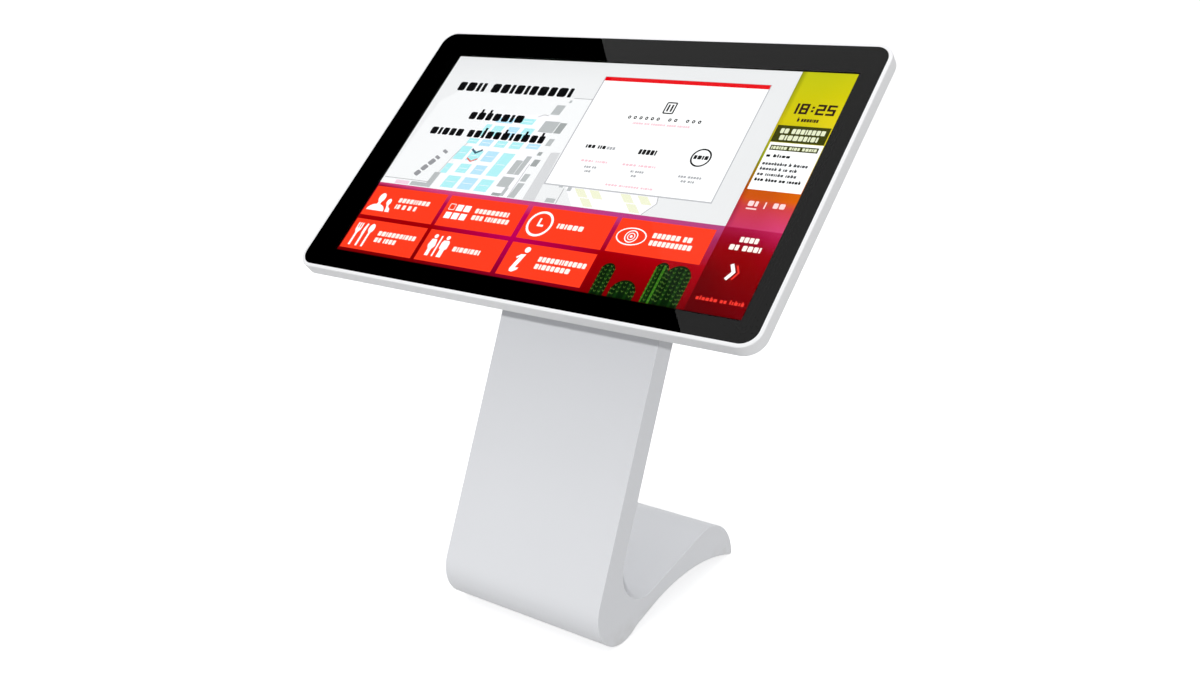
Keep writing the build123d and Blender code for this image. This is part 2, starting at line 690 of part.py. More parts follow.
def slot_row(count, pitch, u, v, length, near, far):
    """Row of narrow vents."""
    return [slab(3.4, length, near, far, 1.6, u + pitch * (n - (count - 1) / 2), v) for n in range(count)]


def rear_cover():
    width = FRAME_W - 2 * COVER_INSET
    height = FRAME_H - 2 * COVER_INSET
    shell = wedge_shell(width, height, COVER_R, FRAME_DEPTH, COVER_BACK, SHEET)
    near = COVER_BACK - SHEET
    window = slab(HOOD_W - 30, HOOD_H - 30, near, COVER_BACK, 30, 0, HOOD_V)
    vents = slot_row(36, 9, 0, -235, 46, near, COVER_BACK)
    for side in (-1, 1):
        vents += slot_row(9, 9, side * SPEAKER_U, SPEAKER_V, 52, near, COVER_BACK)
        vents += slot_row(8, 9, side * 445, 200, 60, near, COVER_BACK)
    holes = [rod(2, near, COVER_BACK, u, v) for u, v in cover_screw_places() + hood_screw_places()]
    button = rod(BUTTON_R + 0.3, near, COVER_BACK, BUTTON_U, BUTTON_V)
    return shell - window - join(vents) - join(holes) - button


def cover_screw_places():
    return [(side_u * RAIL_U, v) for side_u in (-1, 1) for v in (-280, 284)]


def hood_screw_places():
    half_w = HOOD_W / 2 + HOOD_RIM / 2
    half_h = HOOD_H / 2 + HOOD_RIM / 2 + 0.5
    rows = [(u, HOOD_V + side * half_h) for side in (-1, 1) for u in (-240, -80, 80, 240)]
    ends = [(side * half_w, HOOD_V + v) for side in (-1, 1) for v in (-90, 90)]
    return rows + ends


def perforation(u):
    """Rings of small holes in front of a fan."""
    near = HOOD_BACK - SHEET
    holes = [rod(1.9, near, HOOD_BACK, u, FAN_V)]
    for ring in range(1, 6):
        count = 6 * ring
        for step in range(count):
            angle = 2 * pi * step / count
            radius = 6.4 * ring
            holes.append(rod(1.9, near, HOOD_BACK, u + radius * cos(angle), FAN_V + radius * sin(angle)))
    return holes


def rear_hood():
    shell = wedge_shell(HOOD_W, HOOD_H, HOOD_R, COVER_BACK, HOOD_BACK, SHEET, HOOD_V)
    span = (COVER_BACK, COVER_BACK + SHEET)
    flange = slab(HOOD_W + 2 * HOOD_RIM, HOOD_H + 2 * HOOD_RIM, *span, HOOD_R, 0, HOOD_V)
    flange -= slab(HOOD_W - 4, HOOD_H - 4, *span, HOOD_R - 2, 0, HOOD_V)
    near = HOOD_BACK - SHEET
    cable = slab(NECK_HOLE_W, NECK_HOLE_H, near, HOOD_BACK, 12, 0, cable_v())
    bolts = [rod(BOLT_R + 0.2, near, HOOD_BACK, u, v) for u, v in bolt_places()]
    screws = [rod(2, *span, u, v) for u, v in hood_screw_places()]
    return shell + flange - cable - join(bolts + screws + perforation(-FAN_U) + perforation(FAN_U))


def machine_screw(u, v, face, length):
    """Small dome screw standing on a face, with its shank going in."""
    head = rod(3.6, face, face + 1.8, u, v)
    head = fillet(head.edges().filter_by(GeomType.CIRCLE).sort_by(Axis.Z)[0], 1.2)
    cross = slab(4.2, 1.0, face + 0.8, face + 1.8, 0, u, v) + slab(1.0, 4.2, face + 0.8, face + 1.8, 0, u, v)
    return head - cross + rod(2, face - length, face, u, v)


def cover_post(u, v):
    """Post from a rail to the rear cover."""
    far = COVER_BACK - SHEET
    return rod(5, CHASSIS_D, far, u, v) - rod(2, far - 6, far, u, v)


def standoffs(u, v, width, height, far):
    """Four posts from the chassis to a board."""
    near = CHASSIS_D + CHASSIS_T
    return [
        rod(3, near, far, u + a * (width / 2 - 6), v + b * (height / 2 - 6)) for a in (-1, 1) for b in (-1, 1)
    ]


def circuit_board(place):
    u, v, width, height = place
    return slab(width, height, BOARD_D, BOARD_D + BOARD_T, 2, u, v)


def chips(place, layout):
    """Components standing on a board: (du, dv, width, height, rise) each."""
    u, v = place[:2]
    near = BOARD_D + BOARD_T
    return [slab(w, h, near, near + rise, 0, u + du, v + dv) for du, dv, w, h, rise in layout]


def heatsink():
    """Finned block on the processor."""
    u = MAINBOARD[0] - 10
    v = MAINBOARD[1] + 20
    near = BOARD_D + BOARD_T + 3
    base = slab(SINK, SINK, near, near + SINK_BASE, 0, u, v)
    offsets = [FIN_PITCH * (n - (FIN_COUNT - 1) / 2) for n in range(FIN_COUNT)]
    fins = [slab(FIN_T, SINK, near + SINK_BASE, near + SINK_RISE, 0, u + step, v) for step in offsets]
    return join([base, *fins])


def power_supply():
    """Metal case with vent slots and a terminal strip."""
    u, v, width, height = SUPPLY
    near = CHASSIS_D + CHASSIS_T
    far = near + SUPPLY_T
    wall = SUPPLY_SHEET
    case = slab(width, height, near, far, 0, u, v)
    inner = slab(width - 2 * wall, height - 2 * wall, near + wall, far - wall, 0, u, v)
    slots = [slab(3, 50, far - wall, far, 1.4, u - 50 + 8 * n, v) for n in range(13)]
    terminal = slab(14, 60, near + wall, near + 20, 0, u + width / 2 + 7, v)
    return case - inner - join(slots) + terminal


def fan_frame(u):
    """Square fan housing with its motor mount on the inner side."""
    near = HOOD_BACK - SHEET - FAN_T
    far = HOOD_BACK - SHEET
    body = slab(FAN_SIZE, FAN_SIZE, near, far, 4, u, FAN_V) - rod(FAN_BORE, near, far, u, FAN_V)
    hub = rod(16, near, near + 2, u, FAN_V)
    arm = Pos(26, 0, 0) * slab(26, 4, near, near + 2)
    arms = [Pos(u, FAN_V, 0) * Rot(0, 0, 45 + 90 * n) * arm for n in range(4)]
    return join([body, hub, *arms]) - rod(1.5 + RUNNING, near, near + 2, u, FAN_V)


def fan_rotor(u):
    """Hub, pitched blades and shaft of one fan."""
    near = HOOD_BACK - SHEET - FAN_T + 2.6
    far = HOOD_BACK - SHEET - 1.5
    hub = rod(17, near, far, 0, 0)
    hub = fillet(hub.edges().filter_by(GeomType.CIRCLE).sort_by(Axis.Z)[0], 2.0)
    middle = -(near + far) / 2
    blade = Pos(27, 0, middle) * Rot(42, 0, 0) * Box(24, 1.4, 21)
    blades = join(Rot(0, 0, 360 / FAN_BLADES * n) * blade for n in range(FAN_BLADES))
    blades &= rod(FAN_BORE - 0.8, near, far)
    shaft = rod(1.5, near - 2.4, near)
    return Pos(u, FAN_V, 0) * (hub + blades + shaft)


def speaker(side):
    """Loudspeaker behind its slots: frame, cone and magnet."""
    far = COVER_BACK - SHEET
    u = side * SPEAKER_U
    plate = slab(100, 66, far - 3, far, 6, u, SPEAKER_V)
    cone = Pos(u, SPEAKER_V, -far) * loft([Circle(26), Pos(0, 0, 14) * Circle(12)])
    inner = Pos(u, SPEAKER_V, -far) * loft([Circle(24.5), Pos(0, 0, 12.5) * Circle(10.5)])
    magnet = rod(20, far - 22, far - 14, u, SPEAKER_V)
    return plate - rod(26, far - 3, far, u, SPEAKER_V) + (cone - inner) + magnet


def button_bezel():
    """Ring guide of the power button."""
    far = COVER_BACK + 1.6
    ring = rod(BUTTON_R + 3, COVER_BACK, far, BUTTON_U, BUTTON_V)
    ring = fillet(ring.edges().filter_by(GeomType.CIRCLE).sort_by(Axis.Z)[0], 1.0)
    return ring - rod(BUTTON_R + 0.3, COVER_BACK, far, BUTTON_U, BUTTON_V)


def power_button():
    """Domed cap on a stem that reaches the switch."""
    cap = rod(BUTTON_R, COVER_BACK - 4, COVER_BACK + 3.2, BUTTON_U, BUTTON_V)
    cap = fillet(cap.edges().filter_by(GeomType.CIRCLE).sort_by(Axis.Z)[0], 0.8)
    return cap + rod(2.5, COVER_BACK - 10, COVER_BACK - 4, BUTTON_U, BUTTON_V)


def button_switch():
    """Switch body under the button, hung from the rear cover by two legs."""
    far = COVER_BACK - SHEET
    body = slab(24, 24, COVER_BACK - 22, COVER_BACK - 10 - BUTTON_TRAVEL - 0.5, 2, BUTTON_U, BUTTON_V)
    legs = [slab(3, 24, COVER_BACK - 22, far, 0, BUTTON_U + side * 13.5, BUTTON_V) for side in (-1, 1)]
    return join([body, *legs])


def lead(route, radii, diameter):
    """Round cable along straight runs joined by tangent arcs."""
    path = FilletPolyline(*route, radius=radii)
    section = Plane(origin=path @ 0, z_dir=path % 0) * Circle(diameter / 2)
    return sweep(section, path)


def head_point(u, v, depth):
    """World position of a point in the head."""
    return (HEAD * Pos(u, v, -depth)).position


def column_point(x, behind, along):
    """World position of a point in the column."""
    return (COLUMN * Pos(x, behind, along)).position


MAINS_ROUTE = [
    Vector(INLET_X, INLET_MOUTH - INLET_DEEP - 2.5, ENTRY_Z + 1),
    Vector(INLET_X, 140, 50),
    Vector(-30, 85, 70),
    Vector(-55, 30, 70),
    Vector(-60, -20, 67),
    Vector(-60, -85, 52),
    Vector(-60, -125, 43),
    Vector(-60, -172, 73),
    column_point(-60, 38, 178),
    column_point(-60, 21, 260),
    column_point(-60, 20, 420),
    column_point(-60, 22, 600),
    column_point(-45, 22, 760),
    column_point(-20, 24, 900),
    head_point(-8, cable_v() - 18, NECK_BACK + 4),
    head_point(-40, cable_v() + 30, 78),
    head_point(-94, cable_v() + 24, 70),
    head_point(-110, 100, 64),
    head_point(-112, 30, 56),
    head_point(-112, -30, 49),
    head_point(SUPPLY[0] + SUPPLY[2] / 2 + 17, -50, 46),
]
SPEAKER_ROUTE = [(100, -130, 47), (200, -165, 48), (300, -185, 44), (358, -205, 36)]
SPEAKER_SOCKET = (30, -98, 47)
TOUCH_ROUTE = [(200, 118, 45), (182, 88, 46), (165, 40, 50), (125, 22, 52), (78, 6, 50)]


def route_radii(route):
    """Largest arc that each corner's two runs allow."""
    radii = []
    for before, corner, after in zip(route, route[1:], route[2:]):
        first = corner - before
        second = after - corner
        half_turn = radians(first.get_angle(second)) / 2
        shorter = min(first.length, second.length)
        radii.append(0.45 * shorter / (sin(half_turn) / cos(half_turn)))
    return radii


def ribbon():
    """Flat cable from the driver board to the panel's source board."""
    start = (DRIVER[1] - 45, BOARD_D + 3)
    points = [start, (start[0] - 25, BOARD_D + 3), (-185, 25), (-240, 24)]
    path = FilletPolyline(*[(v, -depth) for v, depth in points], radius=10)
    strip = trace(path, 0.8)
    return Pos(DRIVER[0] - 16, 0, 0) * extrude(Plane.YZ * strip, 32)


def main():
    os.makedirs("parts", exist_ok=True)

    # Stand
    save("side_plate_left", side_plate(-1))
    save("side_plate_right", side_plate(1))
    save("front_skin", skin(FRONT_REGION))
    save("arch_skin", skin(ARCH_REGION))
    save("foot_skin", skin(FOOT_REGION) - entry_box(0.0))
    back = skin(BACK_REGION)
    jamb_holes = join(COLUMN * block_rod(x, s, RIVET_R, 0, 2 * COLUMN_T) for x, s in rivet_places(-1))
    low = DOOR_LOW - DOOR_GAP
    high = DOOR_HIGH + DOOR_GAP
    save("back_skin_lower", back & column_slice(-FAR, low))
    save("back_skin_upper", back & column_slice(high, FAR))
    jambs = (back & column_slice(low, high)) - door_window() - jamb_holes
    save("door_jambs", jambs + COLUMN * strike_plate())
    save("inner_ribs", group([rib(-1), rib(1)]))
    bar_y = ROUND_C.X - 22
    bar_z = ROUND_C.Y - 30
    bar = Pos(0, bar_y, bar_z) * Rot(0, 90, 0) * Cylinder(BALLAST_R, BALLAST_L)
    half_bar = BALLAST_L / 2
    plate = block((-half_bar, half_bar), (-35, 90), (ARCH_TOP + 3.5, ARCH_TOP + 15.5))
    save("ballast_weights", group([bar, plate]))
    front_y = ROUND_C.X
    rear_y = TAIL_Y + TAIL_R
    spans = [(front_y - 14, front_y + 14), (rear_y - 18, rear_y - 3)]
    save("rubber_pads", group(foot_pad(*span, x, 60) for span in spans for x in (-105, 105)))

    # Neck
    save("neck_plate", HEAD * neck_plate())
    save("neck_bolts", group(HEAD * socket_bolt(u, v) for u, v in bolt_places()))
    save("neck_bracket", HEAD * join([neck_backing(), load_channel(-1), load_channel(1)]))

    # Mains entry
    save("power_bezel", power_bezel())
    save("mains_inlet", mains_inlet())
    save("inlet_pins", inlet_pins())
    save("switch_housing", switch_housing())
    save("mains_rocker", rocker())

    # Service door
    save("door_panel", COLUMN * door_panel())
    save("hinge_leaves_jamb", group(COLUMN * hinge_leaf(s, -1) for s in hinge_places()))
    save("hinge_leaves_door", group(COLUMN * hinge_leaf(s, 1) for s in hinge_places()))
    save("hinge_pins", group(COLUMN * hinge_pin(s) for s in hinge_places()))
    save("jamb_rivets", group(COLUMN * rivet(x, s) for x, s in rivet_places(-1)))
    save("door_rivets", group(COLUMN * rivet(x, s) for x, s in rivet_places(1)))
    save("lock_housing", COLUMN * lock_housing())
    save("lock_nut", COLUMN * lock_nut())
    save("lock_core", COLUMN * group([lock_core(), cam_screw()]))
    save("lock_cam", COLUMN * lock_cam())

    # Display head, front to back
    save("cover_glass", HEAD * slab(GLASS_W, GLASS_H, 0, GLASS_T, GLASS_R))
    save("border_mask", HEAD * border_mask())
    film_w = GLASS_W - 2 * TAPE_W - 22
    film_h = GLASS_H - 2 * TAPE_W - 22
    save("touch_film", HEAD * slab(film_w, film_h, GLASS_T + MASK_T, GLASS_T + MASK_T + 0.4, 8))
    save("glass_tape", HEAD * glass_tape())
    save("front_frame", HEAD * front_frame())
    save("panel_bezel", HEAD * panel_bezel())
    cell = PANEL_FRONT + PANEL_SHEET
    save("lcd_cell", HEAD * panel_slab(8, cell, cell + 1.8))
    save("light_guide", HEAD * panel_slab(5, cell + 2.4, cell + 7.0))
    save("led_strips", group(HEAD * led_strip(side) for side in (-1, 1)))
    save("backlight_pan", HEAD * backlight_pan())
    save("panel_rails", group(HEAD * panel_rail(side) for side in (-1, 1)))
    save("chassis_plate", HEAD * chassis_plate())
    save("rear_cover", HEAD * rear_cover())
    save("rear_hood", HEAD * rear_hood())
    cover_screws = [machine_screw(u, v, COVER_BACK, 6) for u, v in cover_screw_places()]
    hood_screws = [machine_screw(u, v, COVER_BACK + SHEET, 6) for u, v in hood_screw_places()]
    save("cover_screws", group(HEAD * screw for screw in cover_screws + hood_screws))

    # Electronics
    save("mainboard", HEAD * circuit_board(MAINBOARD))
    main_parts = [(-10, 20, 36, 36, 3), (62, 30, 12, 70, 12), (30, -60, 90, 14, 13), (-62, -20, 24, 50, 10)]
    driver_parts = [(0, 8, 30, 30, 4), (-50, -38, 30, 8, 6), (45, 20, 24, 24, 12)]
    touch_parts = [(0, 0, 14, 14, 2), (-28, 0, 10, 20, 5)]
    parts = chips(MAINBOARD, main_parts) + chips(DRIVER, driver_parts) + chips(TOUCH_BOARD, touch_parts)
    save("board_components", group(HEAD * part for part in parts))
    save("processor_heatsink", HEAD * heatsink())
    source_board = slab(420, 20, CHASSIS_D - RAIL_D, CHASSIS_D - RAIL_D + BOARD_T, 0, 20, -250)
    save("display_boards", group([HEAD * circuit_board(DRIVER), HEAD * source_board]))
    save("touch_controller", HEAD * circuit_board(TOUCH_BOARD))
    posts = [cover_post(u, v) for u, v in cover_screw_places()]
    for board in (MAINBOARD, DRIVER, TOUCH_BOARD):
        posts += standoffs(*board, BOARD_D)
    save("standoffs", group(HEAD * post for post in posts))
    save("power_supply", HEAD * power_supply())
    save("fan_frames", group(HEAD * fan_frame(side * FAN_U) for side in (-1, 1)))
    save("fan_rotor_left", HEAD * fan_rotor(-FAN_U))
    save("fan_rotor_right", HEAD * fan_rotor(FAN_U))
    save("speakers", group(HEAD * speaker(side) for side in (-1, 1)))
    save("button_housing", group([HEAD * button_bezel(), HEAD * button_switch()]))
    save("power_button", HEAD * power_button())

    # Leads held inside
    save("mains_lead", lead(MAINS_ROUTE, route_radii(MAINS_ROUTE), 7.0))
    signal_leads = []
    for side in (-1, 1):
        u, v, depth = SPEAKER_SOCKET
        start = head_point(u + 30 * side, v, depth)
        route = [start] + [head_point(side * u, v, depth) for u, v, depth in SPEAKER_ROUTE]
        signal_leads.append(lead(route, route_radii(route), 3.6))
    touch_route = [head_point(*point) for point in TOUCH_ROUTE]
    signal_leads.append(lead(touch_route, route_radii(touch_route), 4.0))
    save("signal_leads", group(signal_leads))
    save("display_ribbon", HEAD * ribbon())


main()
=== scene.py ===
"""Looks of the touchscreen kiosk: finishes of every CAD node, the lit picture, the studio and the camera."""

import json
import math
import random

import bmesh
import bpy
from mathutils import Matrix, Vector


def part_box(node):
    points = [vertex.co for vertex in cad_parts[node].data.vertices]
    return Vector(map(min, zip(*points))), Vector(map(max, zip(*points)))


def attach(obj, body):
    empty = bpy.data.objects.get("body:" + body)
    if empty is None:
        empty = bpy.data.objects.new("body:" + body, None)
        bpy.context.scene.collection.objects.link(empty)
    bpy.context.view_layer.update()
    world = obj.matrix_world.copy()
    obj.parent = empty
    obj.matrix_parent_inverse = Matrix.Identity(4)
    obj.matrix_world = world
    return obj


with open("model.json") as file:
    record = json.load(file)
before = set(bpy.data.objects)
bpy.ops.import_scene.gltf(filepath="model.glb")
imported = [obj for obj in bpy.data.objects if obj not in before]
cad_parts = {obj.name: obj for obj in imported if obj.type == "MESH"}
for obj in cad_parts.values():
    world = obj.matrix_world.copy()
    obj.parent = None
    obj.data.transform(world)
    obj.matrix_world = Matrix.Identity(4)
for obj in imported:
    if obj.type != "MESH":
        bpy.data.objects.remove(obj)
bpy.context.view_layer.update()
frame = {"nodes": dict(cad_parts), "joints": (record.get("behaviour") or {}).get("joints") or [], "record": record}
MM = 0.001
MICRON = 0.000001


def stand(data, place):
    """A new object in the scene, at its place."""
    made = bpy.data.objects.new(data.name, data)
    made.matrix_world = place
    bpy.context.scene.collection.objects.link(made)
    return made


# ---------------------------------------------------------------- camera
EYE = (1.4614, -1.8505, 1.3815)
CAMERA_TURN = 37.66          # degrees to the left of straight ahead
CAMERA_DIP = 19.96           # degrees below level
CAMERA_ROLL = -3.36
LENS, SENSOR = 37.96, 36     # millimetres
SIGHT = 200                  # metres, past the floor's far edge


def make_camera():
    data = bpy.data.cameras.new("camera")
    data.lens, data.sensor_width = LENS, SENSOR
    data.clip_end = SIGHT
    bpy.context.scene.camera = stand(
        data,
        Matrix.Translation(EYE)
        @ Matrix.Rotation(math.radians(CAMERA_TURN), 4, "Z")
        @ Matrix.Rotation(math.radians(90 - CAMERA_DIP), 4, "X")
        @ Matrix.Rotation(math.radians(CAMERA_ROLL), 4, "Z"),
    )


# ---------------------------------------------------------------- the display head
# Its button is pressed straight in, so that the button's axis is square to the glass. Millimetres.
OUT = Vector(next(j["axis"] for j in frame["joints"] if j["name"] == "power_press")).normalized()
ACROSS = Vector((1, 0, 0))
UP_SLOPE = OUT.cross(ACROSS)
GLASS_THICK = 4
PICTURE_WIDE, PICTURE_HIGH = 941.2, 529.4
PICTURE_RIGHT, PICTURE_UP = 15.5, -8.5        # the picture's centre from the glass's centre
PICTURE_DEEP = 6.12                           # depth of the picture's back behind the glass's face
STEP = 0.05                                   # from one layer of the picture to the one in front of it
FILM = 0.03                                   # thickness of a layer
COATING_RIGHT, COATING_UP = 1.5, -1.9         # the coating's centre from the picture's
COATING_EDGE = 0.5                            # width over which it fades out


def head_matrix():
    """From the glass's face, in millimetres, to the row frame."""
    low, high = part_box("cover_glass")
    middle = (low + high) / 2 + OUT * (GLASS_THICK * MM / 2)
    turn = Matrix((ACROSS, UP_SLOPE, OUT)).transposed().to_4x4()
    return Matrix.Translation(middle) @ turn @ Matrix.Scale(MM, 4)


# ---------------------------------------------------------------- colour
def linear(level):
    """A display level from 0 to 255 as linear light."""
    share = level / 255
    return share / 12.92 if share <= 0.04045 else ((share + 0.055) / 1.055) ** 2.4


def colour(red, green, blue):
    """A display colour as a linear one with full alpha."""
    return (linear(red), linear(green), linear(blue), 1.0)


def scaled(tone, share):
    """The tone, made darker to that share of its brightness."""
    return tuple(share * c for c in tone[:3]) + (1.0,)


WHITE, BLACK = (1, 1, 1, 1), (0, 0, 0, 1)


# ---------------------------------------------------------------- shader nodes
def feed(tree, socket, value):
    """Links a node's output to the socket, or sets a plain value on it."""
    if isinstance(value, bpy.types.NodeSocket):
        tree.links.new(value, socket)
    else:
        socket.default_value = value


def new_node(tree, kind, inputs, **settings):
    made = tree.nodes.new(kind)
    for key, value in settings.items():
        setattr(made, key, value)
    for key, value in inputs.items():
        feed(tree, made.inputs[key], value)
    return made


def map_range(tree, value, low, high, start, end):
    """value, read from low to high, as start to end."""
    inputs = {"Value": value, "From Min": low, "From Max": high, "To Min": start, "To Max": end}
    return new_node(tree, "ShaderNodeMapRange", inputs).outputs["Result"]


class Finish:
    """One material with a Principled shader, patterned in the row frame's metres."""

    def __init__(self, name, **constants):
        self.material = bpy.data.materials.new(name)
        self.material.use_nodes = True
        self.tree = self.material.node_tree
        self.shader = self.tree.nodes["Principled BSDF"]
        self.place = self.tree.nodes.new("ShaderNodeTexCoord").outputs["Object"]
        self.normal = None
        for key, value in constants.items():
            self.shader.inputs[key.replace("_", " ")].default_value = value

    def node(self, kind, inputs, **settings):
        return new_node(self.tree, kind, inputs, **settings)

    def stretched(self, along):
        """The place, scaled by its own factor along X, Y and Z."""
        return self.node("ShaderNodeMapping", {"Vector": self.place, "Scale": along}).outputs[0]

    def noise(self, scale, detail=3.0, at=None):
        inputs = {"Vector": at or self.place, "Scale": scale, "Detail": detail}
        return self.node("ShaderNodeTexNoise", inputs).outputs["Fac"]

    def cells(self, scale, output="Distance", feature="F1"):
        inputs = {"Vector": self.place, "Scale": scale}
        return self.node("ShaderNodeTexVoronoi", inputs, feature=feature).outputs[output]

    def waves(self, scale, distortion=0.0):
        """Bands across X."""
        inputs = {"Vector": self.place, "Scale": scale, "Distortion": distortion}
        return self.node("ShaderNodeTexWave", inputs, bands_direction="X").outputs["Fac"]

    def span(self, value, low, high, start=0.0, end=1.0):
        return map_range(self.tree, value, low, high, start, end)

    def height(self):
        """Height above the floor."""
        return self.node("ShaderNodeSeparateXYZ", {0: self.place}).outputs["Z"]

    def times(self, one, other):
        return self.node("ShaderNodeMath", {0: one, 1: other}, operation="MULTIPLY").outputs[0]

    def mix(self, share, one, other):
        """A colour between two. The Mix node's sockets share their names, so its colours go by number."""
        return self.node("ShaderNodeMix", {0: share, 6: one, 7: other}, data_type="RGBA").outputs[2]

    def base(self, value):
        feed(self.tree, self.shader.inputs["Base Color"], value)

    def roughness(self, value, low, high):
        """Roughness from low to high as a pattern goes over its middle half."""
        feed(self.tree, self.shader.inputs["Roughness"], self.span(value, 0.25, 0.75, low, high))

    def bump(self, value, microns, strength):
        """Relief on top of any that is already there."""
        inputs = {"Height": value, "Distance": microns * MICRON, "Strength": strength}
        if self.normal:
            inputs["Normal"] = self.normal
        self.normal = self.node("ShaderNodeBump", inputs).outputs[0]
        feed(self.tree, self.shader.inputs["Normal"], self.normal)


DUST = colour(176, 170, 160)
SHELL_WHITE, FRAME_WHITE = colour(228, 229, 232), colour(240, 240, 241)
HINGE_GREY = colour(206, 207, 208)
GLASS_TINT, GLASS_IOR = (0.97, 0.985, 0.98, 1), 1.5
FILM_TINT, FILM_IOR = (0.985, 0.985, 0.99, 1), 1.02     # bonded, so that it hardly mirrors
ACRYLIC_TINT, ACRYLIC_IOR = (0.97, 0.98, 0.985, 1), 1.49
UNLIT = (0.01, 0.01, 0.01, 1)                 # the picture's own surface
LIT = 1.2                                     # its light
TONES = "tones"                               # the mesh attribute with colours that run into each other


def powder_coat(name, tone, dusty_below):
    """Satin powder coat: orange peel, faint clouding, fine flecks, and a little dust near the floor."""
    m = Finish(name)
    clouding = m.mix(m.span(m.noise(2.2, 4), 0.3, 0.7), tone, scaled(tone, 0.975))
    flecked = m.mix(m.span(m.noise(1400, 2), 0.62, 0.8, 0, 0.12), clouding, scaled(tone, 0.8))
    low = m.span(m.height(), 0, dusty_below, 0.32, 0)
    dust = m.times(low, m.span(m.noise(45, 5), 0.35, 0.7))
    m.base(m.mix(dust, flecked, DUST))
    m.roughness(m.noise(60, 3), 0.36, 0.46)
    m.bump(m.noise(520, 2), 50, 0.5)
    m.bump(m.noise(9, 2), 600, 0.25)
    return m.material


def black_oxide(name):
    m = Finish(name, Metallic=0.6)
    m.base(m.mix(m.noise(35, 5), colour(38, 38, 41), colour(62, 61, 62)))
    m.roughness(m.noise(160, 4), 0.42, 0.62)
    m.bump(m.noise(700, 3), 40, 0.5)
    return m.material


def zinc_plate(name):
    """Zinc plated sheet, with soft spangles a few millimetres wide."""
    m = Finish(name, Metallic=1.0)
    spangle = m.node("ShaderNodeSeparateColor", {0: m.cells(130, "Color")}).outputs[0]
    m.base(m.mix(spangle, colour(176, 179, 180), colour(206, 208, 208)))
    m.roughness(spangle, 0.34, 0.52)
    m.bump(m.cells(130), 30, 0.3)
    m.bump(m.noise(18, 3), 400, 0.2)
    return m.material


def brushed_steel(name, tone, along):
    """Steel with fine brush lines along one axis."""
    m = Finish(name, Metallic=1.0)
    lines = m.noise(60, 4, m.stretched(along))
    m.base(m.mix(lines, scaled(tone, 0.86), tone))
    m.roughness(lines, 0.24, 0.4)
    m.bump(lines, 40, 0.4)
    return m.material


def turned_steel(name, centre):
    """A turned button face, with rings about its own centre."""
    m = Finish(name, Metallic=1.0)
    offset = m.node("ShaderNodeVectorMath", {0: m.place, 1: centre}, operation="SUBTRACT").outputs[0]
    rings = m.node("ShaderNodeTexWave", {"Vector": offset, "Scale": 900}, wave_type="RINGS",
                   rings_direction="SPHERICAL").outputs["Fac"]
    m.base(m.mix(rings, colour(196, 197, 199), colour(226, 227, 229)))
    m.roughness(m.noise(200, 3), 0.2, 0.34)
    m.bump(rings, 20, 0.5)
    return m.material


def chrome(name):
    m = Finish(name, Metallic=1.0)
    m.base(m.mix(m.noise(70, 4), colour(214, 216, 220), colour(236, 237, 240)))
    m.roughness(m.noise(220, 4), 0.07, 0.16)
    m.bump(m.noise(300, 3), 10, 0.3)
    return m.material


def tinned_brass(name):
    m = Finish(name, Metallic=1.0)
    m.base(m.mix(m.noise(240, 4), colour(205, 190, 150), colour(226, 218, 196)))
    m.roughness(m.noise(500, 3), 0.22, 0.38)
    return m.material


def aluminium(name):
    """Extruded aluminium, with die lines along X."""
    m = Finish(name, Metallic=1.0)
    lines = m.noise(30, 4, m.stretched((1, 60, 60)))
    m.base(m.mix(lines, colour(196, 198, 201), colour(222, 223, 226)))
    m.roughness(lines, 0.3, 0.45)
    m.bump(lines, 30, 0.4)
    return m.material


def rubber(name):
    m = Finish(name)
    m.base(m.mix(m.noise(55, 5), colour(34, 34, 35), colour(56, 54, 52)))
    m.roughness(m.noise(300, 3), 0.72, 0.9)
    m.bump(m.noise(900, 3), 100, 0.6)
    return m.material


def foam(name):
    m = Finish(name)
    pores = m.cells(1500)
    m.base(m.mix(pores, colour(20, 20, 21), colour(44, 44, 45)))
    m.roughness(pores, 0.85, 0.95)
    m.bump(pores, 150, 0.6)
    return m.material


def grained_plastic(name, dark, light, rough, grain=1100):
    """Moulded plastic with spark-eroded grain."""
    m = Finish(name)
    m.base(m.mix(m.noise(80, 4), dark, light))
    m.roughness(m.noise(400, 3), rough, rough + 0.12)
    m.bump(m.cells(grain, feature="SMOOTH_F1"), 60, 0.5)
    return m.material


def cable_sheath(name):
    m = Finish(name)
    m.base(m.mix(m.noise(120, 4), colour(24, 24, 25), colour(42, 42, 43)))
    m.roughness(m.noise(260, 3), 0.42, 0.6)
    m.bump(m.noise(500, 2), 80, 0.4)
    return m.material


def flat_cable(name):
    """Ribbon of side-by-side conductors."""
    m = Finish(name)
    cores = m.waves(390)
    m.base(m.mix(cores, colour(196, 194, 188), colour(226, 225, 220)))
    m.roughness(m.noise(200, 3), 0.45, 0.6)
    m.bump(cores, 200, 0.6)
    return m.material


def circuit_board(name):
    """Solder mask over tracks, with tinned pads showing through it."""
    m = Finish(name)
    tracks = m.span(m.waves(210, 9.0), 0.45, 0.55)
    mask = m.mix(tracks, colour(14, 74, 40), colour(24, 104, 58))
    pads = m.span(m.cells(260), 0.16, 0.2, 1, 0)
    m.base(m.mix(pads, mask, colour(196, 198, 190)))
    m.roughness(m.noise(120, 3), 0.28, 0.42)
    m.bump(tracks, 40, 0.6)
    return m.material


def printed_black(name):
    """Opaque ink printed on the back of the glass."""
    m = Finish(name, Specular_IOR_Level=0.0)
    m.base(m.mix(m.noise(4, 3), colour(1, 1, 1), colour(5, 5, 6)))
    m.roughness(m.noise(90, 3), 0.5, 0.6)
    return m.material


def clear(name, tint, ior):
    """What is polished and clear, with the faintest change of tint across it."""
    m = Finish(name, Transmission_Weight=1.0, Roughness=0.0, IOR=ior)
    m.base(m.mix(m.noise(3, 3), tint, scaled(tint, 0.985)))
    return m


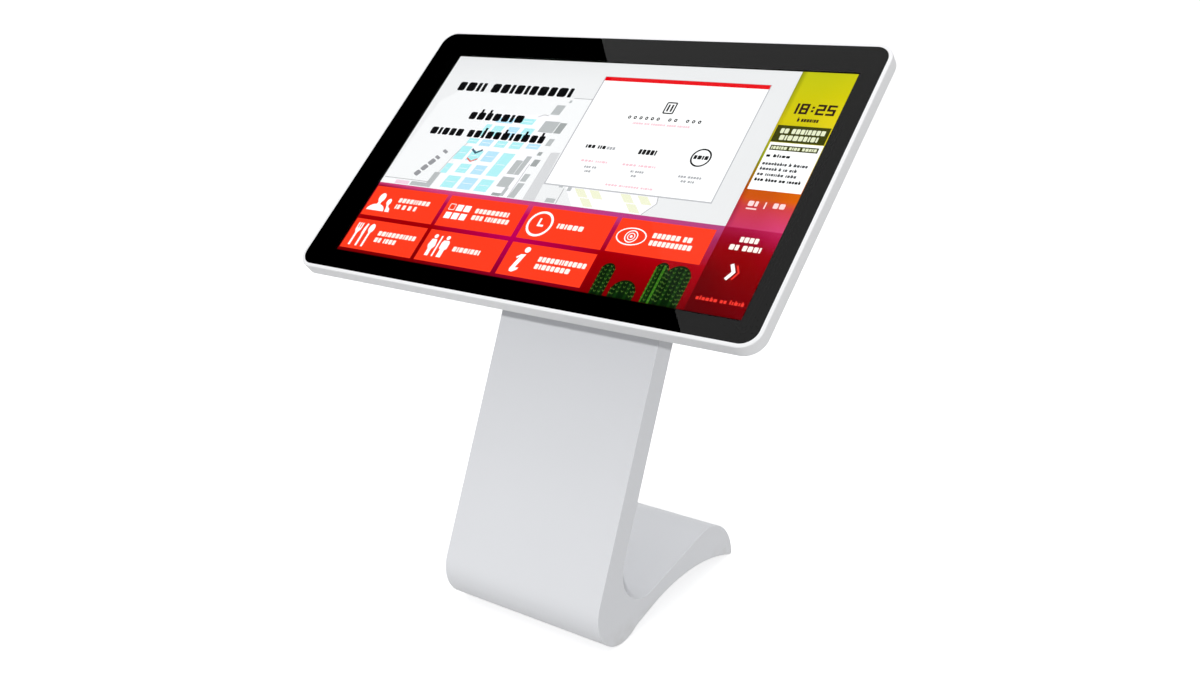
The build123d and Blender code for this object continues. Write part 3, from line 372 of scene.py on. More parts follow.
def clear_sheet(name, tint, ior):
    return clear(name, tint, ior).material


def coated_glass(name):
    """Clear toughened glass, with an anti-reflection coating over the picture and none over the border."""
    m = clear(name, GLASS_TINT, GLASS_IOR)
    low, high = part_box("cover_glass")
    edge = COATING_EDGE * MM
    coated = 1.0
    for axis, centre, size in ((ACROSS, PICTURE_RIGHT + COATING_RIGHT, PICTURE_WIDE),
                               (UP_SLOPE, PICTURE_UP + COATING_UP, PICTURE_HIGH)):
        along = m.node("ShaderNodeVectorMath", {0: m.place, 1: axis}, operation="DOT_PRODUCT")
        along = along.outputs["Value"]
        start = (low + high).dot(axis) / 2 + (centre - size / 2) * MM
        end = start + size * MM
        coated = m.times(coated, m.span(along, start, start + edge))
        coated = m.times(coated, m.span(along, end - edge, end, 1.0, 0.0))
    feed(m.tree, m.shader.inputs["Specular Tint"], m.mix(coated, WHITE, BLACK))
    return m.material


def display_glass(name):
    """The panel's own front: a dark polariser, seen only where no picture is lit."""
    m = Finish(name, Specular_IOR_Level=0.2)
    m.base(m.mix(m.noise(8, 3), colour(10, 10, 12), colour(16, 16, 19)))
    m.roughness(m.noise(900, 2), 0.28, 0.4)
    return m.material


def glowing(name, **constants):
    """What all of the picture shares: the panel's anti-glare grain, lit from behind."""
    m = Finish(name, Base_Color=UNLIT, Specular_IOR_Level=0.1, Emission_Strength=LIT, **constants)
    m.roughness(m.noise(900, 2), 0.3, 0.42)
    return m


def lit_colour(name, tone):
    return glowing(name, Emission_Color=tone).material


def lit_blend(name):
    """Lit colours that run into each other, kept in the mesh, with the backlight's own unevenness."""
    m = glowing(name)
    tones = m.node("ShaderNodeVertexColor", {}, layer_name=TONES).outputs["Color"]
    uneven = m.mix(m.span(m.noise(3.5, 2), 0.3, 0.7, 0, 0.05), tones, BLACK)
    feed(m.tree, m.shader.inputs["Emission Color"], uneven)
    return m.material


def finish_nodes():
    """Gives each CAD node the finish of its material slot."""
    low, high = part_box("power_button")
    finishes = {
        "shell_paint": powder_coat("shell_paint", SHELL_WHITE, 50 * MM),
        "frame_paint": powder_coat("frame_paint", FRAME_WHITE, 10 * MM),
        "zinc_steel": zinc_plate("zinc_steel"),
        "black_steel": black_oxide("black_steel"),
        "hinge_steel": brushed_steel("hinge_steel", HINGE_GREY, (20, 1, 1)),
        "chrome_trim": chrome("chrome_trim"),
        "button_steel": turned_steel("button_steel", (low + high) / 2),
        "rubber": rubber("rubber"),
        "black_plastic": grained_plastic("black_plastic", colour(28, 28, 30), colour(40, 40, 42), 0.44),
        "rocker_plastic": grained_plastic("rocker_plastic", colour(22, 22, 23), colour(30, 30, 31), 0.2,
                                          grain=400),
        "brass": tinned_brass("brass"),
        "cover_glass": coated_glass("cover_glass"),
        "touch_film": clear_sheet("touch_film", FILM_TINT, FILM_IOR),
        "black_print": printed_black("black_print"),
        "black_foam": foam("black_foam"),
        "screen": display_glass("screen"),
        "clear_acrylic": clear_sheet("clear_acrylic", ACRYLIC_TINT, ACRYLIC_IOR),
        "strip_aluminium": aluminium("strip_aluminium"),
        "green_board": circuit_board("green_board"),
        "chip_plastic": grained_plastic("chip_plastic", colour(26, 26, 27), colour(38, 38, 39), 0.5),
        "cable_black": cable_sheath("cable_black"),
        "ribbon_white": flat_cable("ribbon_white"),
    }
    for part in frame["record"]["subparts"]:
        for slot in frame["nodes"][part["node"]].material_slots:
            slot.material = finishes[part["material_slot"]]


# ---------------------------------------------------------------- the lit picture
# Outlines are in millimetres from the picture's top left corner, across and down.


class Graphic:
    """Flat lit shapes, each a thin closed prism, joined in one piece. Higher layers lie nearer the glass."""

    def __init__(self):
        self.corners, self.faces, self.slots, self.tones = [], [], [], []

    def add(self, points, faces, layer, tint):
        """points are (across, down, front) with front 1 on the side that is seen."""
        start = len(self.corners)
        back = -PICTURE_DEEP + layer * STEP
        for x, y, front in points:
            u = PICTURE_RIGHT - PICTURE_WIDE / 2 + x
            v = PICTURE_UP + PICTURE_HIGH / 2 - y
            self.corners.append((u, v, back + front * FILM))
        self.faces += [[start + i for i in face] for face in faces]
        self.slots += [tint] * len(faces)

    def fill(self, outline, tint, layer):
        """A filled outline."""
        n = len(outline)
        points = [(x, y, front) for front in (1, 0) for x, y in outline]
        sides = [(i, (i + 1) % n, (i + 1) % n + n, i + n) for i in range(n)]
        self.add(points, [tuple(range(n)), tuple(reversed(range(n, 2 * n)))] + sides, layer, tint)

    def band(self, outer, inner, tint, layer):
        """The band between two outlines with as many points."""
        n = len(outer)
        points = [(x, y, front) for front in (1, 0) for x, y in outer + inner]
        faces = []
        for i in range(n):
            j = (i + 1) % n
            faces += [
                (i, j, n + j, n + i),
                (2 * n + i, 3 * n + i, 3 * n + j, 2 * n + j),
                (i, 2 * n + i, 2 * n + j, j),
                (n + i, n + j, 3 * n + j, 3 * n + i),
            ]
        self.add(points, faces, layer, tint)

    def blend(self, columns, rows, tones, layer):
        """A rectangle whose colours, given at each crossing of rows and columns, run into each other."""
        wide, high = len(columns), len(rows)
        count = wide * high
        points = [(x, y, front) for front in (1, 0) for y in rows for x in columns]
        faces = []
        for r in range(high - 1):
            for c in range(wide - 1):
                a = r * wide + c
                cell = (a, a + 1, a + 1 + wide, a + wide)
                faces += [cell, tuple(count + i for i in reversed(cell))]
        rim = (
            list(range(wide))
            + [r * wide + wide - 1 for r in range(1, high)]
            + [(high - 1) * wide + c for c in reversed(range(wide - 1))]
            + [r * wide for r in reversed(range(1, high - 1))]
        )
        for i, a in enumerate(rim):
            b = rim[(i + 1) % len(rim)]
            faces.append((a, b, b + count, a + count))
        self.add(points, faces, layer, None)
        self.tones += [tone for _ in range(2) for row in tones for tone in row]

    def piece(self, name):
        """The finished object, riding on the kiosk's head."""
        mesh = bpy.data.meshes.new(name)
        mesh.from_pydata(self.corners, [], self.faces)
        if self.tones:
            mesh.color_attributes.new(TONES, "FLOAT_COLOR", "POINT")
            for datum, tone in zip(mesh.color_attributes[TONES].data, self.tones):
                datum.color = tone
            mesh.materials.append(lit_blend(name))
        else:
            tints = sorted(set(self.slots))
            for tint in tints:
                mesh.materials.append(lit(tint))
            for face, tint in zip(mesh.polygons, self.slots):
                face.material_index = tints.index(tint)
        shape = bmesh.new()
        shape.from_mesh(mesh)
        bmesh.ops.recalc_face_normals(shape, faces=shape.faces)
        shape.to_mesh(mesh)
        shape.free()
        made = stand(mesh, head_matrix())
        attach(made, "kiosk")


PALETTE = {  # display levels of the picture's plain colours
    "ink": (12, 12, 14), "white": (255, 255, 255), "hall": (243, 243, 244), "aisle": (250, 248, 252),
    "shade": (212, 212, 214), "line": (178, 178, 180), "word": (150, 150, 154),
    "booth": (176, 236, 240), "booth_blue": (184, 226, 246), "block": (184, 187, 188),
    "block_dark": (160, 164, 164), "olive_block": (236, 237, 208), "pink_block": (240, 205, 220),
    "arrow_blue": (66, 96, 112), "arrow_red": (226, 112, 100), "card_edge": (186, 186, 190),
    "card_bar": (228, 4, 18), "pink_word": (242, 196, 206), "grey_word": (172, 172, 176),
    "tile": (255, 60, 32), "cream": (255, 240, 232), "brown": (44, 22, 14), "olive": (58, 60, 6),
    "olive_word": (226, 230, 196), "text": (70, 70, 74), "switch": (252, 214, 214),
    "red_mark": (236, 52, 42), "cactus_dark": (5, 26, 6), "cactus_mid": (14, 48, 10),
    "cactus_light": (52, 112, 24), "cactus_spine": (92, 130, 54),
}
NARROW, WIDE = 0.4, (0.72, 1.0)               # widths and gaps of the placeholder marks, in whole marks
LETTER_GAP, WORD_GAP = 0.2, 0.55
NARROW_SHARE, RISING_SHARE = 0.2, 0.35        # how many marks are narrow, and how many have a stem
SMALL_DROP = 0.3                              # how far a low mark's top lies below a tall one's
STEM = 0.3                                    # a stem's width
CORNER = 0.16                                 # what is cut off a mark's corners, in its shorter side
MITRE = 0.3                                   # a corner of a line reaches at most 1 / MITRE half widths
HALL_LEAN, ROOM_LEAN = 0.22, 0.16
lit_made = {}


def lit(tint):
    """The finish of one of the palette's colours, made once."""
    if tint not in lit_made:
        lit_made[tint] = lit_colour("lit_" + tint, colour(*PALETTE[tint]))
    return lit_made[tint]


def box_outline(x0, y0, x1, y1):
    return [(x0, y0), (x1, y0), (x1, y1), (x0, y1)]


def slanted(x0, y0, x1, y1, lean):
    """A box whose top lies further right than its foot."""
    shift = lean * (y1 - y0)
    return [(x0 + shift, y0), (x1 + shift, y0), (x1, y1), (x0, y1)]


def round_outline(x, y, across, down, count=40, turn=360):
    """Points round an ellipse, or along its first turn degrees, anticlockwise from the right."""
    steps = count if turn == 360 else count + 1
    angles = [math.radians(turn * i / count) for i in range(steps)]
    return [(x + across * math.cos(a), y - down * math.sin(a)) for a in angles]


def stroke_outline(points, width):
    """The outline of a line of that width along the points, with mitred corners."""
    left, right = [], []
    for i, (x, y) in enumerate(points):
        before = Vector(points[max(i - 1, 0)])
        after = Vector(points[min(i + 1, len(points) - 1)])
        here = Vector((x, y))
        one = (here - before).normalized() if i else (after - here).normalized()
        two = (after - here).normalized() if i < len(points) - 1 else one
        along = (one + two).normalized()
        side = Vector((-along.y, along.x)) * (width / 2 / max(along.dot(one), MITRE))
        left.append(tuple(here + side))
        right.append(tuple(here - side))
    return left + right[::-1]


def stroke(graphic, points, width, tint, layer):
    graphic.fill(stroke_outline(points, width), tint, layer)


def ring(graphic, x, y, across, down, width, tint, layer):
    outer = round_outline(x, y, across, down)
    inner = round_outline(x, y, across - width, down - width)
    graphic.band(outer, inner, tint, layer)


def cut_box(x0, y0, x1, y1, cut):
    """A box without its corners."""
    return [(x0 + cut, y0), (x1 - cut, y0), (x1, y0 + cut), (x1, y1 - cut),
            (x1 - cut, y1), (x0 + cut, y1), (x0, y1 - cut), (x0, y0 + cut)]


def frame_outline(graphic, x0, y0, x1, y1, width, tint, layer):
    """A hollow box with cut corners, whose line is about as wide there as along its sides."""
    outer = cut_box(x0, y0, x1, y1, 0.8 * width)
    inner = cut_box(x0 + width, y0 + width, x1 - width, y1 - width, 0.25 * width)
    graphic.band(outer, inner, tint, layer)


def greek(graphic, x0, y0, x1, y1, words, tint, layer, lower=False, place=lambda x, y: (x, y)):
    """A line of placeholder marks instead of lettering: solid blocks, in groups as long as words."""
    draw = random.Random(f"{x0} {y0} {words}")
    marks, at = [], 0.0
    for count in words:
        for _ in range(count):
            wide = NARROW if draw.random() < NARROW_SHARE else draw.uniform(*WIDE)
            marks.append((at, at + wide, draw.random() < RISING_SHARE))
            at += wide + LETTER_GAP
        at += WORD_GAP
    pitch = (x1 - x0) / (at - WORD_GAP - LETTER_GAP)
    top = y0 + (SMALL_DROP if lower else 0) * (y1 - y0)
    for start, end, rises in marks:
        a, b = x0 + start * pitch, x0 + end * pitch
        cut = CORNER * min(b - a, y1 - top)
        graphic.fill([place(*point) for point in cut_box(a, top, b, y1, cut)], tint, layer)
        if lower and rises:
            stem = box_outline(a + cut, y0, a + cut + STEM * pitch, top)
            graphic.fill([place(*point) for point in stem], tint, layer)


def draw_backdrop():
    """The picture's grounds: the map's, the tiles' and the side column's, which run from colour to colour."""
    g = Graphic()
    ground, light = colour(231, 231, 232), colour(238, 238, 239)
    g.blend((2, 415, 830), (2, 60, 353), ((ground, ground, ground), (light, light, ground),
                                          (light, light, ground)), 0)
    pink, wine, red = colour(205, 62, 118), colour(150, 0, 36), colour(158, 0, 6)
    deep, violet = colour(120, 0, 4), colour(184, 60, 130)
    g.blend((2, 205, 412, 617, 830), (353, 362, 385, 441, 527), (
        (pink, colour(212, 72, 128), violet, violet, colour(176, 66, 126)),
        (wine, pink, pink, violet, colour(176, 66, 120)),
        (wine, colour(178, 10, 76), colour(190, 6, 92), colour(176, 20, 80), colour(160, 40, 90)),
        (red, red, colour(186, 0, 84), red, colour(170, 0, 14)),
        (deep, deep, colour(128, 0, 30), deep, colour(112, 0, 4))), 0)
    left = (colour(132, 138, 0), colour(150, 150, 0), colour(186, 168, 0), colour(120, 140, 0),
            colour(160, 66, 0), colour(190, 52, 20), colour(160, 34, 52), colour(176, 40, 84))
    middle = (colour(190, 192, 8), colour(200, 194, 0), colour(208, 194, 4), colour(196, 186, 20),
              colour(196, 82, 0), colour(204, 82, 14), colour(200, 58, 66), colour(198, 54, 98))
    right = (colour(196, 194, 6), colour(206, 196, 0), colour(224, 204, 20), colour(206, 190, 40),
             colour(212, 98, 0), colour(220, 96, 0), colour(210, 66, 72), colour(212, 64, 116))
    g.blend((830, 842, 885, 939), (2, 55, 115, 200, 268, 290, 308, 353),
            [(a, b, b, c) for a, b, c in zip(left, middle, right)], 0)
    g.blend((830, 885, 939), (353, 375, 400, 450, 527), (
        (colour(164, 14, 62), colour(172, 20, 70), colour(190, 34, 86)),
        (colour(148, 0, 30), colour(152, 2, 34), colour(172, 14, 62)),
        (colour(140, 0, 4), colour(142, 0, 2), colour(150, 0, 12)),
        (colour(106, 0, 2), colour(124, 0, 2), colour(128, 0, 2)),
        (colour(84, 0, 2), colour(92, 0, 2), colour(104, 0, 4))), 0)
    g.piece("screen_backdrop")


def draw_map():
    """A plan of exhibition halls: aisles, stands and rooms, with two pointers and headings."""
    g = Graphic()
    g.fill([(4, 338), (24, 128), (62, 98), (362, 98), (412, 98), (412, 352), (4, 352)], "hall", 1)
    g.fill([(142, 352), (200, 150), (356, 146), (352, 352)], "aisle", 2)
    g.fill([(383, 352), (386, 236), (408, 234), (412, 352)], "shade", 2)
    for points in ([(366, 98), (412, 98)], [(6, 338), (132, 338), (152, 268), (168, 232)],
                   [(345, 352), (352, 268)], [(305, 152), (318, 145), (330, 147)]):
        stroke(g, points, 1.6, "line", 3)
    booths = (
        (165, 316, 199, 346), (210, 316, 244, 346), (254, 316, 286, 346),
        (180, 284, 208, 307), (221, 284, 250, 307), (262, 248, 292, 307),
        (188, 249, 217, 275), (227, 247, 257, 274), (153, 240, 180, 275),
        (164, 219, 191, 232), (199, 219, 228, 236), (239, 219, 266, 236),
        (277, 219, 306, 236), (319, 219, 350, 232), (182, 180, 197, 212),
        (206, 182, 232, 210), (244, 182, 272, 210), (283, 182, 310, 210),
        (270, 158, 302, 173), (206, 160, 250, 174), (143, 287, 160, 312),
    )
    for i, (x0, y0, x1, y1) in enumerate(booths):
        g.fill(slanted(x0, y0, x1, y1, HALL_LEAN), "booth_blue" if i % 3 == 1 else "booth", 3)
        shift = HALL_LEAN * (y1 - y0) / 2
        stroke(g, [(x0 + 4 + shift, (y0 + y1) / 2), (x1 - 4 + shift, (y0 + y1) / 2)], 1.1, "aisle", 4)
    rooms = (
        (331, 118, 353, 143), (325, 160, 362, 189), (364, 162, 381, 189), (362, 203, 375, 221),
        (310, 262, 327, 297), (328, 250, 341, 297), (355, 256, 370, 273), (352, 292, 366, 311),
        (303, 304, 333, 329), (324, 329, 333, 350), (303, 344, 324, 351), (346, 315, 362, 351),
        (124, 312, 140, 351), (84, 341, 132, 351), (356, 237, 366, 246), (359, 104, 365, 111),
    )
    for i, (x0, y0, x1, y1) in enumerate(rooms):
        g.fill(slanted(x0, y0, x1, y1, ROOM_LEAN), "block_dark" if i % 4 == 2 else "block", 3)
    g.fill(box_outline(42, 342, 80, 351), "pink_block", 3)
    g.fill(box_outline(8, 342, 42, 351), "aisle", 3)

    def up_the_hall(x, y):
        """A line of marks that climbs to the right, as the hall's wall does."""
        return (76 + 0.55 * x + 0.86 * y, 322 - 0.86 * x + 0.4 * y)
    greek(g, 0, 0, 80, 15, (4, 1), "word", 4, place=up_the_hall)
    stroke(g, [(190, 246), (204, 255), (218, 246)], 4.6, "arrow_blue", 5)
    stroke(g, [(190, 269), (204, 277), (218, 269)], 3.2, "arrow_red", 5)

    g.fill([(464, 311), (672, 311), (676, 325), (656, 352), (500, 352)], "aisle", 2)
    for x0, y0 in ((486, 312), (520, 312), (590, 312), (628, 312), (508, 332), (612, 332)):
        g.fill([(x0, y0), (x0 + 22, y0), (x0 + 40, y0 + 18), (x0 + 18, y0 + 18)], "olive_block", 3)
    for points in ([(463, 316), (463, 352)], [(672, 310), (676, 325), (656, 352)]):
        stroke(g, points, 1.8, "line", 4)
    for x0, y0, x1, y1 in ((436, 341, 458, 351), (471, 311, 480, 320), (449, 308, 458, 314)):
        g.fill(box_outline(x0, y0, x1, y1), "block", 3)

    greek(g, 51, 73, 355, 97, (4, 10), "ink", 6)
    greek(g, 130, 143, 273, 171, (7,), "ink", 6, lower=True)
    greek(g, 51, 190, 353, 217, (5, 11), "ink", 6, lower=True)
    g.piece("screen_map")


def draw_card():
    """A white card over the map, with marks and lines of placeholder text."""
    g = Graphic()
    g.fill(box_outline(411, 37, 783, 311), "card_edge", 6)
    g.fill(box_outline(414, 38, 780.5, 308), "white", 7)
    g.fill(box_outline(413, 38, 781.5, 48), "card_bar", 8)
    frame_outline(g, 585, 92, 609, 121, 3, "ink", 8)
    g.fill(box_outline(591, 98, 595, 115), "ink", 8)
    g.fill(box_outline(599, 98, 603, 115), "ink", 8)
    for i in range(13):
        if i not in (6, 9):
            x = 516 + 13 * i
            frame_outline(g, x, 131, x + 6.5, 138.5, 2.2, "ink", 8)
    greek(g, 533, 146, 660, 151, (5, 3, 7, 4, 6), "pink_word", 8)
    greek(g, 458, 208, 504, 216, (3, 3), "ink", 8)
    greek(g, 507, 209, 526, 216, (3,), "grey_word", 8)
    greek(g, 581, 208, 620, 220, (5,), "ink", 8)
    ring(g, 716, 215, 21, 21, 3.4, "ink", 8)
    greek(g, 701, 210, 731, 219, (4,), "ink", 8)
    for x0, x1, words in ((465, 526, (4, 5)), (561, 634, (4, 6))):
        greek(g, x0, 244, x1, 249, words, "pink_word", 8)
    for x0, x1, y, words in ((480, 508, 258, (3, 2)), (586, 615, 258, (2, 4)), (690, 738, 258, (3, 5)),
                             (486, 500, 268, (3,)), (592, 603, 268, (2,)), (700, 728, 268, (2, 3))):
        greek(g, x0, y, x1, y + 5, words, "grey_word", 8)
    greek(g, 548, 293.5, 652, 298, (4, 8, 5), "pink_word", 8)
    g.piece("screen_card")


TILE_COLUMNS = ((4, 201), (211, 406), (418, 612), (622, 818))
TILE_ROWS = ((363, 437), (447, 520))


def draw_tiles():
    """The menu's seven buttons."""
    g = Graphic()
    for row, (y0, y1) in enumerate(TILE_ROWS):
        for x0, x1 in TILE_COLUMNS[: 4 - row]:
            g.fill(box_outline(x0, y0, x1, y1), "tile", 3)
    lines = (
        (84, 386, 168, 397, (9,)), (84, 402, 142, 413, (2, 1, 1, 1)),
        (290, 386, 374, 397, (9,)), (290, 402, 382, 413, (3, 7)), (495, 394, 554, 405, (6,)),
        (702, 386, 782, 397, (6, 2)), (702, 402, 788, 413, (10,)),
        (84, 470, 186, 481, (11,)), (84, 486, 142, 497, (2, 4)), (290, 478, 358, 489, (8,)),
        (495, 470, 602, 481, (12,)), (495, 486, 574, 497, (8,)),
    )
    for x0, y0, x1, y1, words in lines:
        greek(g, x0, y0, x1, y1, words, "cream", 4)
    g.piece("screen_tiles")


def draw_icons():
    """The buttons' pictograms."""
    g = Graphic()
    g.fill(round_outline(36, 391, 8.6, 11.6), "white", 4)
    g.fill(box_outline(31.6, 397, 40.4, 413.5), "white", 4)
    g.fill(round_outline(35, 423.5, 24, 16.5, 24, 180), "white", 4)
    g.fill(round_outline(60.5, 399, 6, 8), "white", 4)
    g.fill([(58, 405), (64, 405), (66, 411), (72, 415), (75, 423.5), (63, 423.5), (61.5, 414)], "white", 4)

    frame_outline(g, 221, 382, 236, 397, 1.6, "cream", 4)
    for column in range(3):
        for row in range(2):
            if column or row:
                x, y = 221 + 19.6 * column, 382.5 + 20 * row
                g.fill(box_outline(x, y, x + 15.6, y + 15), "white", 4)

    ring(g, 454, 400.5, 29, 29, 5, "white", 4)
    stroke(g, [(451.5, 388), (451.5, 404), (463.5, 404)], 4.4, "white", 4)

    for lid in (18, -18):
        arc = (math.pi * i / 12 for i in range(13))
        stroke(g, [(660 - 30.5 * math.cos(a), 400 - lid * math.sin(a)) for a in arc], 2.4, "white", 4)
    ring(g, 660, 400, 13.6, 13.6, 2.2, "white", 4)
    ring(g, 660, 400, 8, 8, 1.8, "white", 4)
    g.fill(round_outline(660, 400, 2.8, 2.8, 20), "white", 4)

    for x in (18.5, 24.4, 30.3):  # fork, knife and spoon
        g.fill(box_outline(x - 1.6, 457, x + 1.6, 473), "white", 4)
    g.fill([(16.9, 470), (31.9, 470), (31.9, 474), (28, 480), (27.2, 484), (27.2, 512),
            (21.6, 512), (21.6, 484), (20.8, 480), (16.9, 474)], "white", 4)
    g.fill([(41, 460), (42.5, 456.5), (46, 457.5), (46, 512), (40.6, 512), (40.6, 488), (38.8, 480),
            (38.8, 468)], "white", 4)
    g.fill(round_outline(59.3, 467, 7.6, 11), "white", 4)
    g.fill(box_outline(56.6, 474, 62, 512), "white", 4)

    # two figures with a line between them
    for x, torso in ((234, [(-6, 0), (6, 0), (9.5, 15), (6, 22), (4.5, 22), (4.5, 39), (-4.5, 39),
                            (-4.5, 22), (-6, 22), (-9.5, 15)]),
                     (265.5, [(-7, 0), (7, 0), (9.8, 6), (9.6, 19), (5.6, 21), (5.6, 39), (-5.6, 39),
                              (-5.6, 21), (-9.6, 19), (-9.8, 6)])):
        g.fill(round_outline(x, 461.5, 4.8, 4.8, 24), "white", 4)
        g.fill([(x + dx, 468 + dy) for dx, dy in torso], "white", 4)
    g.fill(box_outline(247, 459, 251, 507), "white", 4)

    g.fill(round_outline(461, 460, 6.4, 6.4, 28), "white", 4)  # an i
    g.fill([(444, 478), (452, 471), (463, 470), (453.5, 501), (462, 500), (460, 505), (451, 511),
            (444.5, 510), (442.5, 505), (451, 477), (446, 481)], "white", 4)
    g.piece("screen_icons")


def draw_sidebar():
    """Clock, next event, languages and the way to the plan."""
    g = Graphic()
    digits(g, "18:25", 884.5, 97.5, 19.44, "brown", 2)
    greek(g, 865, 107, 906, 117, (1, 7), "brown", 2, lower=True)
    g.fill(box_outline(834, 127, 937, 165), "olive", 2)
    greek(g, 844, 134, 930, 145, (2, 8), "olive_word", 3)
    greek(g, 848, 149, 922, 160, (9,), "olive_word", 3)
    g.fill(box_outline(835.5, 166, 938, 271), "white", 2)
    g.fill(box_outline(839.5, 172, 932, 183.5), "olive", 3)
    greek(g, 842, 174.5, 929, 181, (6, 4, 5), "olive_word", 4)
    for y, x1, words, tint in ((191.5, 886, (1, 5), "ink"), (209, 927, (9, 1, 5), "text"),
                               (220.5, 911, (6, 1, 2, 3), "text"), (232.5, 915, (2, 8, 4), "text"),
                               (244.5, 928, (3, 4, 2, 5), "ink")):
        greek(g, 840, y, x1, y + 7.5, words, tint, 3, lower=True)
    greek(g, 851, 295, 870, 306, (2,), "switch", 2)
    g.fill(box_outline(851, 310, 871, 313), "switch", 2)
    stroke(g, [(884, 295), (884, 309)], 2.8, "switch", 2)
    greek(g, 899, 295, 921, 306, (2,), "switch", 2)
    greek(g, 869, 370, 904, 381, (4,), "cream", 2)
    greek(g, 856, 387, 916, 398, (2, 4), "cream", 2)
    stroke(g, [(877, 426), (886, 441), (877, 457)], 6.5, "white", 2)
    stroke(g, [(887.5, 427), (895.5, 441), (888, 456)], 3.4, "red_mark", 2)
    greek(g, 841, 494, 932, 503, (6, 2, 5), "red_mark", 2, lower=True)
    g.piece("screen_sidebar")


SEGMENTS = {
    "a": ((0, 0), (1, 0)), "b": ((1, 0), (1, 0.5)), "c": ((1, 0.5), (1, 1)), "d": ((0, 1), (1, 1)),
    "e": ((0, 0.5), (0, 1)), "f": ((0, 0), (0, 0.5)), "g": ((0, 0.5), (1, 0.5)),
}
DIGITS = {"1": "bc", "2": "abged", "5": "afgcd", "8": "abcdefg"}
DIGIT_WIDE, DIGIT_GAP, DIGIT_LINE = 0.62, 0.42, 0.24    # in heights of a figure
COLON_WIDE, COLON_DOTS = 0.3, (0.3, 0.72)     # in widths of a figure, and in heights above its foot


def digits(graphic, reading, middle, foot, high, tint, layer):
    """A clock's reading in seven-segment figures, over a foot line."""
    wide, gap, line = DIGIT_WIDE * high, DIGIT_GAP * high, DIGIT_LINE * high
    steps = [COLON_WIDE * wide if sign == ":" else wide for sign in reading]
    x = middle - (sum(steps) + gap * (len(reading) - 1)) / 2
    for sign, step in zip(reading, steps):
        if sign == ":":
            for share in COLON_DOTS:
                y = foot - share * high
                graphic.fill(box_outline(x, y - line / 2, x + line, y + line / 2), tint, layer)
        else:
            for key in DIGITS[sign]:
                (ax, ay), (bx, by) = SEGMENTS[key]
                grow = line / 2
                graphic.fill(box_outline(x + ax * wide - grow, foot - high + ay * high - grow,
                                         x + bx * wide + grow, foot - high + by * high + grow), tint, layer)
        x += step + gap


PLANT_FOOT = 527
HEAD_STEP = 9                                 # degrees from point to point of a round head
RIB_REACH = 78                                # degrees from the middle to where the outer ribs end
RIB_SIDES = (0.2, 0.8)                        # where in its share of the width a rib begins and ends
RIB_DROP, SPINE_DROP, SPINE_STOP = 5, 7, 4    # from the top to ribs and spines, and spines from the foot
SPINE_LEAN, SPINE_RISE, SPINE_LINE, SPINE_PITCH = 2.4, 3.2, 0.8, 9


def cactus(graphic, x, top, half, ribs, layer, tints):
    """A ribbed column with a round head, down to the picture's lower edge, with rows of spines."""
    def height_at(share):
        return top + half * (1 - math.sqrt(max(1 - share * share, 0)))

    head = [(x + half * math.sin(a), top + half * (1 - math.cos(a)))
            for a in map(math.radians, range(-90, 91, HEAD_STEP))]
    graphic.fill([(x - half, PLANT_FOOT)] + head + [(x + half, PLANT_FOOT)], tints[0], layer)
    for rib in range(ribs):
        turns = (-RIB_REACH + 2 * RIB_REACH * (rib + side) / ribs for side in RIB_SIDES)
        a, b = (math.sin(math.radians(turn)) for turn in turns)
        left, right = x + half * a, x + half * b
        outline = [(left, PLANT_FOOT), (left, height_at(a) + RIB_DROP),
                   (right, height_at(b) + RIB_DROP), (right, PLANT_FOOT)]
        graphic.fill(outline, tints[1 + rib % 2], layer + 1)
        middle = (left + right) / 2
        y = height_at((a + b) / 2) + SPINE_DROP
        while y < PLANT_FOOT - SPINE_STOP:
            for lean in (-SPINE_LEAN, SPINE_LEAN):
                stroke(graphic, [(middle, y), (middle + lean, y - SPINE_RISE)], SPINE_LINE,
                       "cactus_spine", layer + 2)
            y += SPINE_PITCH


def draw_plants():
    """Cacti at the foot of the menu."""
    g = Graphic()
    for x, top, half, ribs in ((649, 460, 14.5, 4), (699, 489, 26, 7), (789, 444, 26, 7)):
        cactus(g, x, top, half, ribs, 1, ("cactus_dark", "cactus_mid", "cactus_dark"))
    cactus(g, 753, 443, 13, 4, 4, ("cactus_dark", "cactus_light", "cactus_mid"))
    g.piece("screen_plants")


# ---------------------------------------------------------------- studio
FLOOR_HALF = 40
FLOOR_GLOW = 0.5
SUN_TURN, SUN_HEIGHT = 37.66, 21.9            # degrees round from straight in front, and above level
SUN_STRENGTH, SUN_SPREAD = 1.5, 1.0
BANK_TURN = 24.5                              # degrees the overhead bank is turned, as seen from above
SOFT_BOXES = (  # name, centre, what it faces (None is straight down), size, glow, seen in the glass
    ("overhead_bank", (-0.27, 0.193, 2.6), None, (1.6, 2.2), 0.5, True),
    ("top_fill", (0, 0, 3), (0, 0, 0), (2, 2), 0.8, False),
    ("front_fill", (0.1, -2.6, 0.7), (0, -0.1, 0.7), (1.6, 1.0), 1.2, False),
    ("back_fill", (-0.8, 2.3, 2.3), (0, 0.1, 0.3), (1.6, 1.6), 2.4, False),
)
SURROUND = (0.98, 0.99, 1.0, 1)
FILL_FROM, SIDE_FILL = -0.6, 0.24             # rise of a direction, and the surround's light from there
FILL_TO, TOP_FILL = 0.8, 0.6
MIRROR_FROM, MIRROR_SIDE = 0.35, 0.9          # the same for what a glossy surface mirrors
MIRROR_TO, MIRROR_TOP = 0.6, 0.0


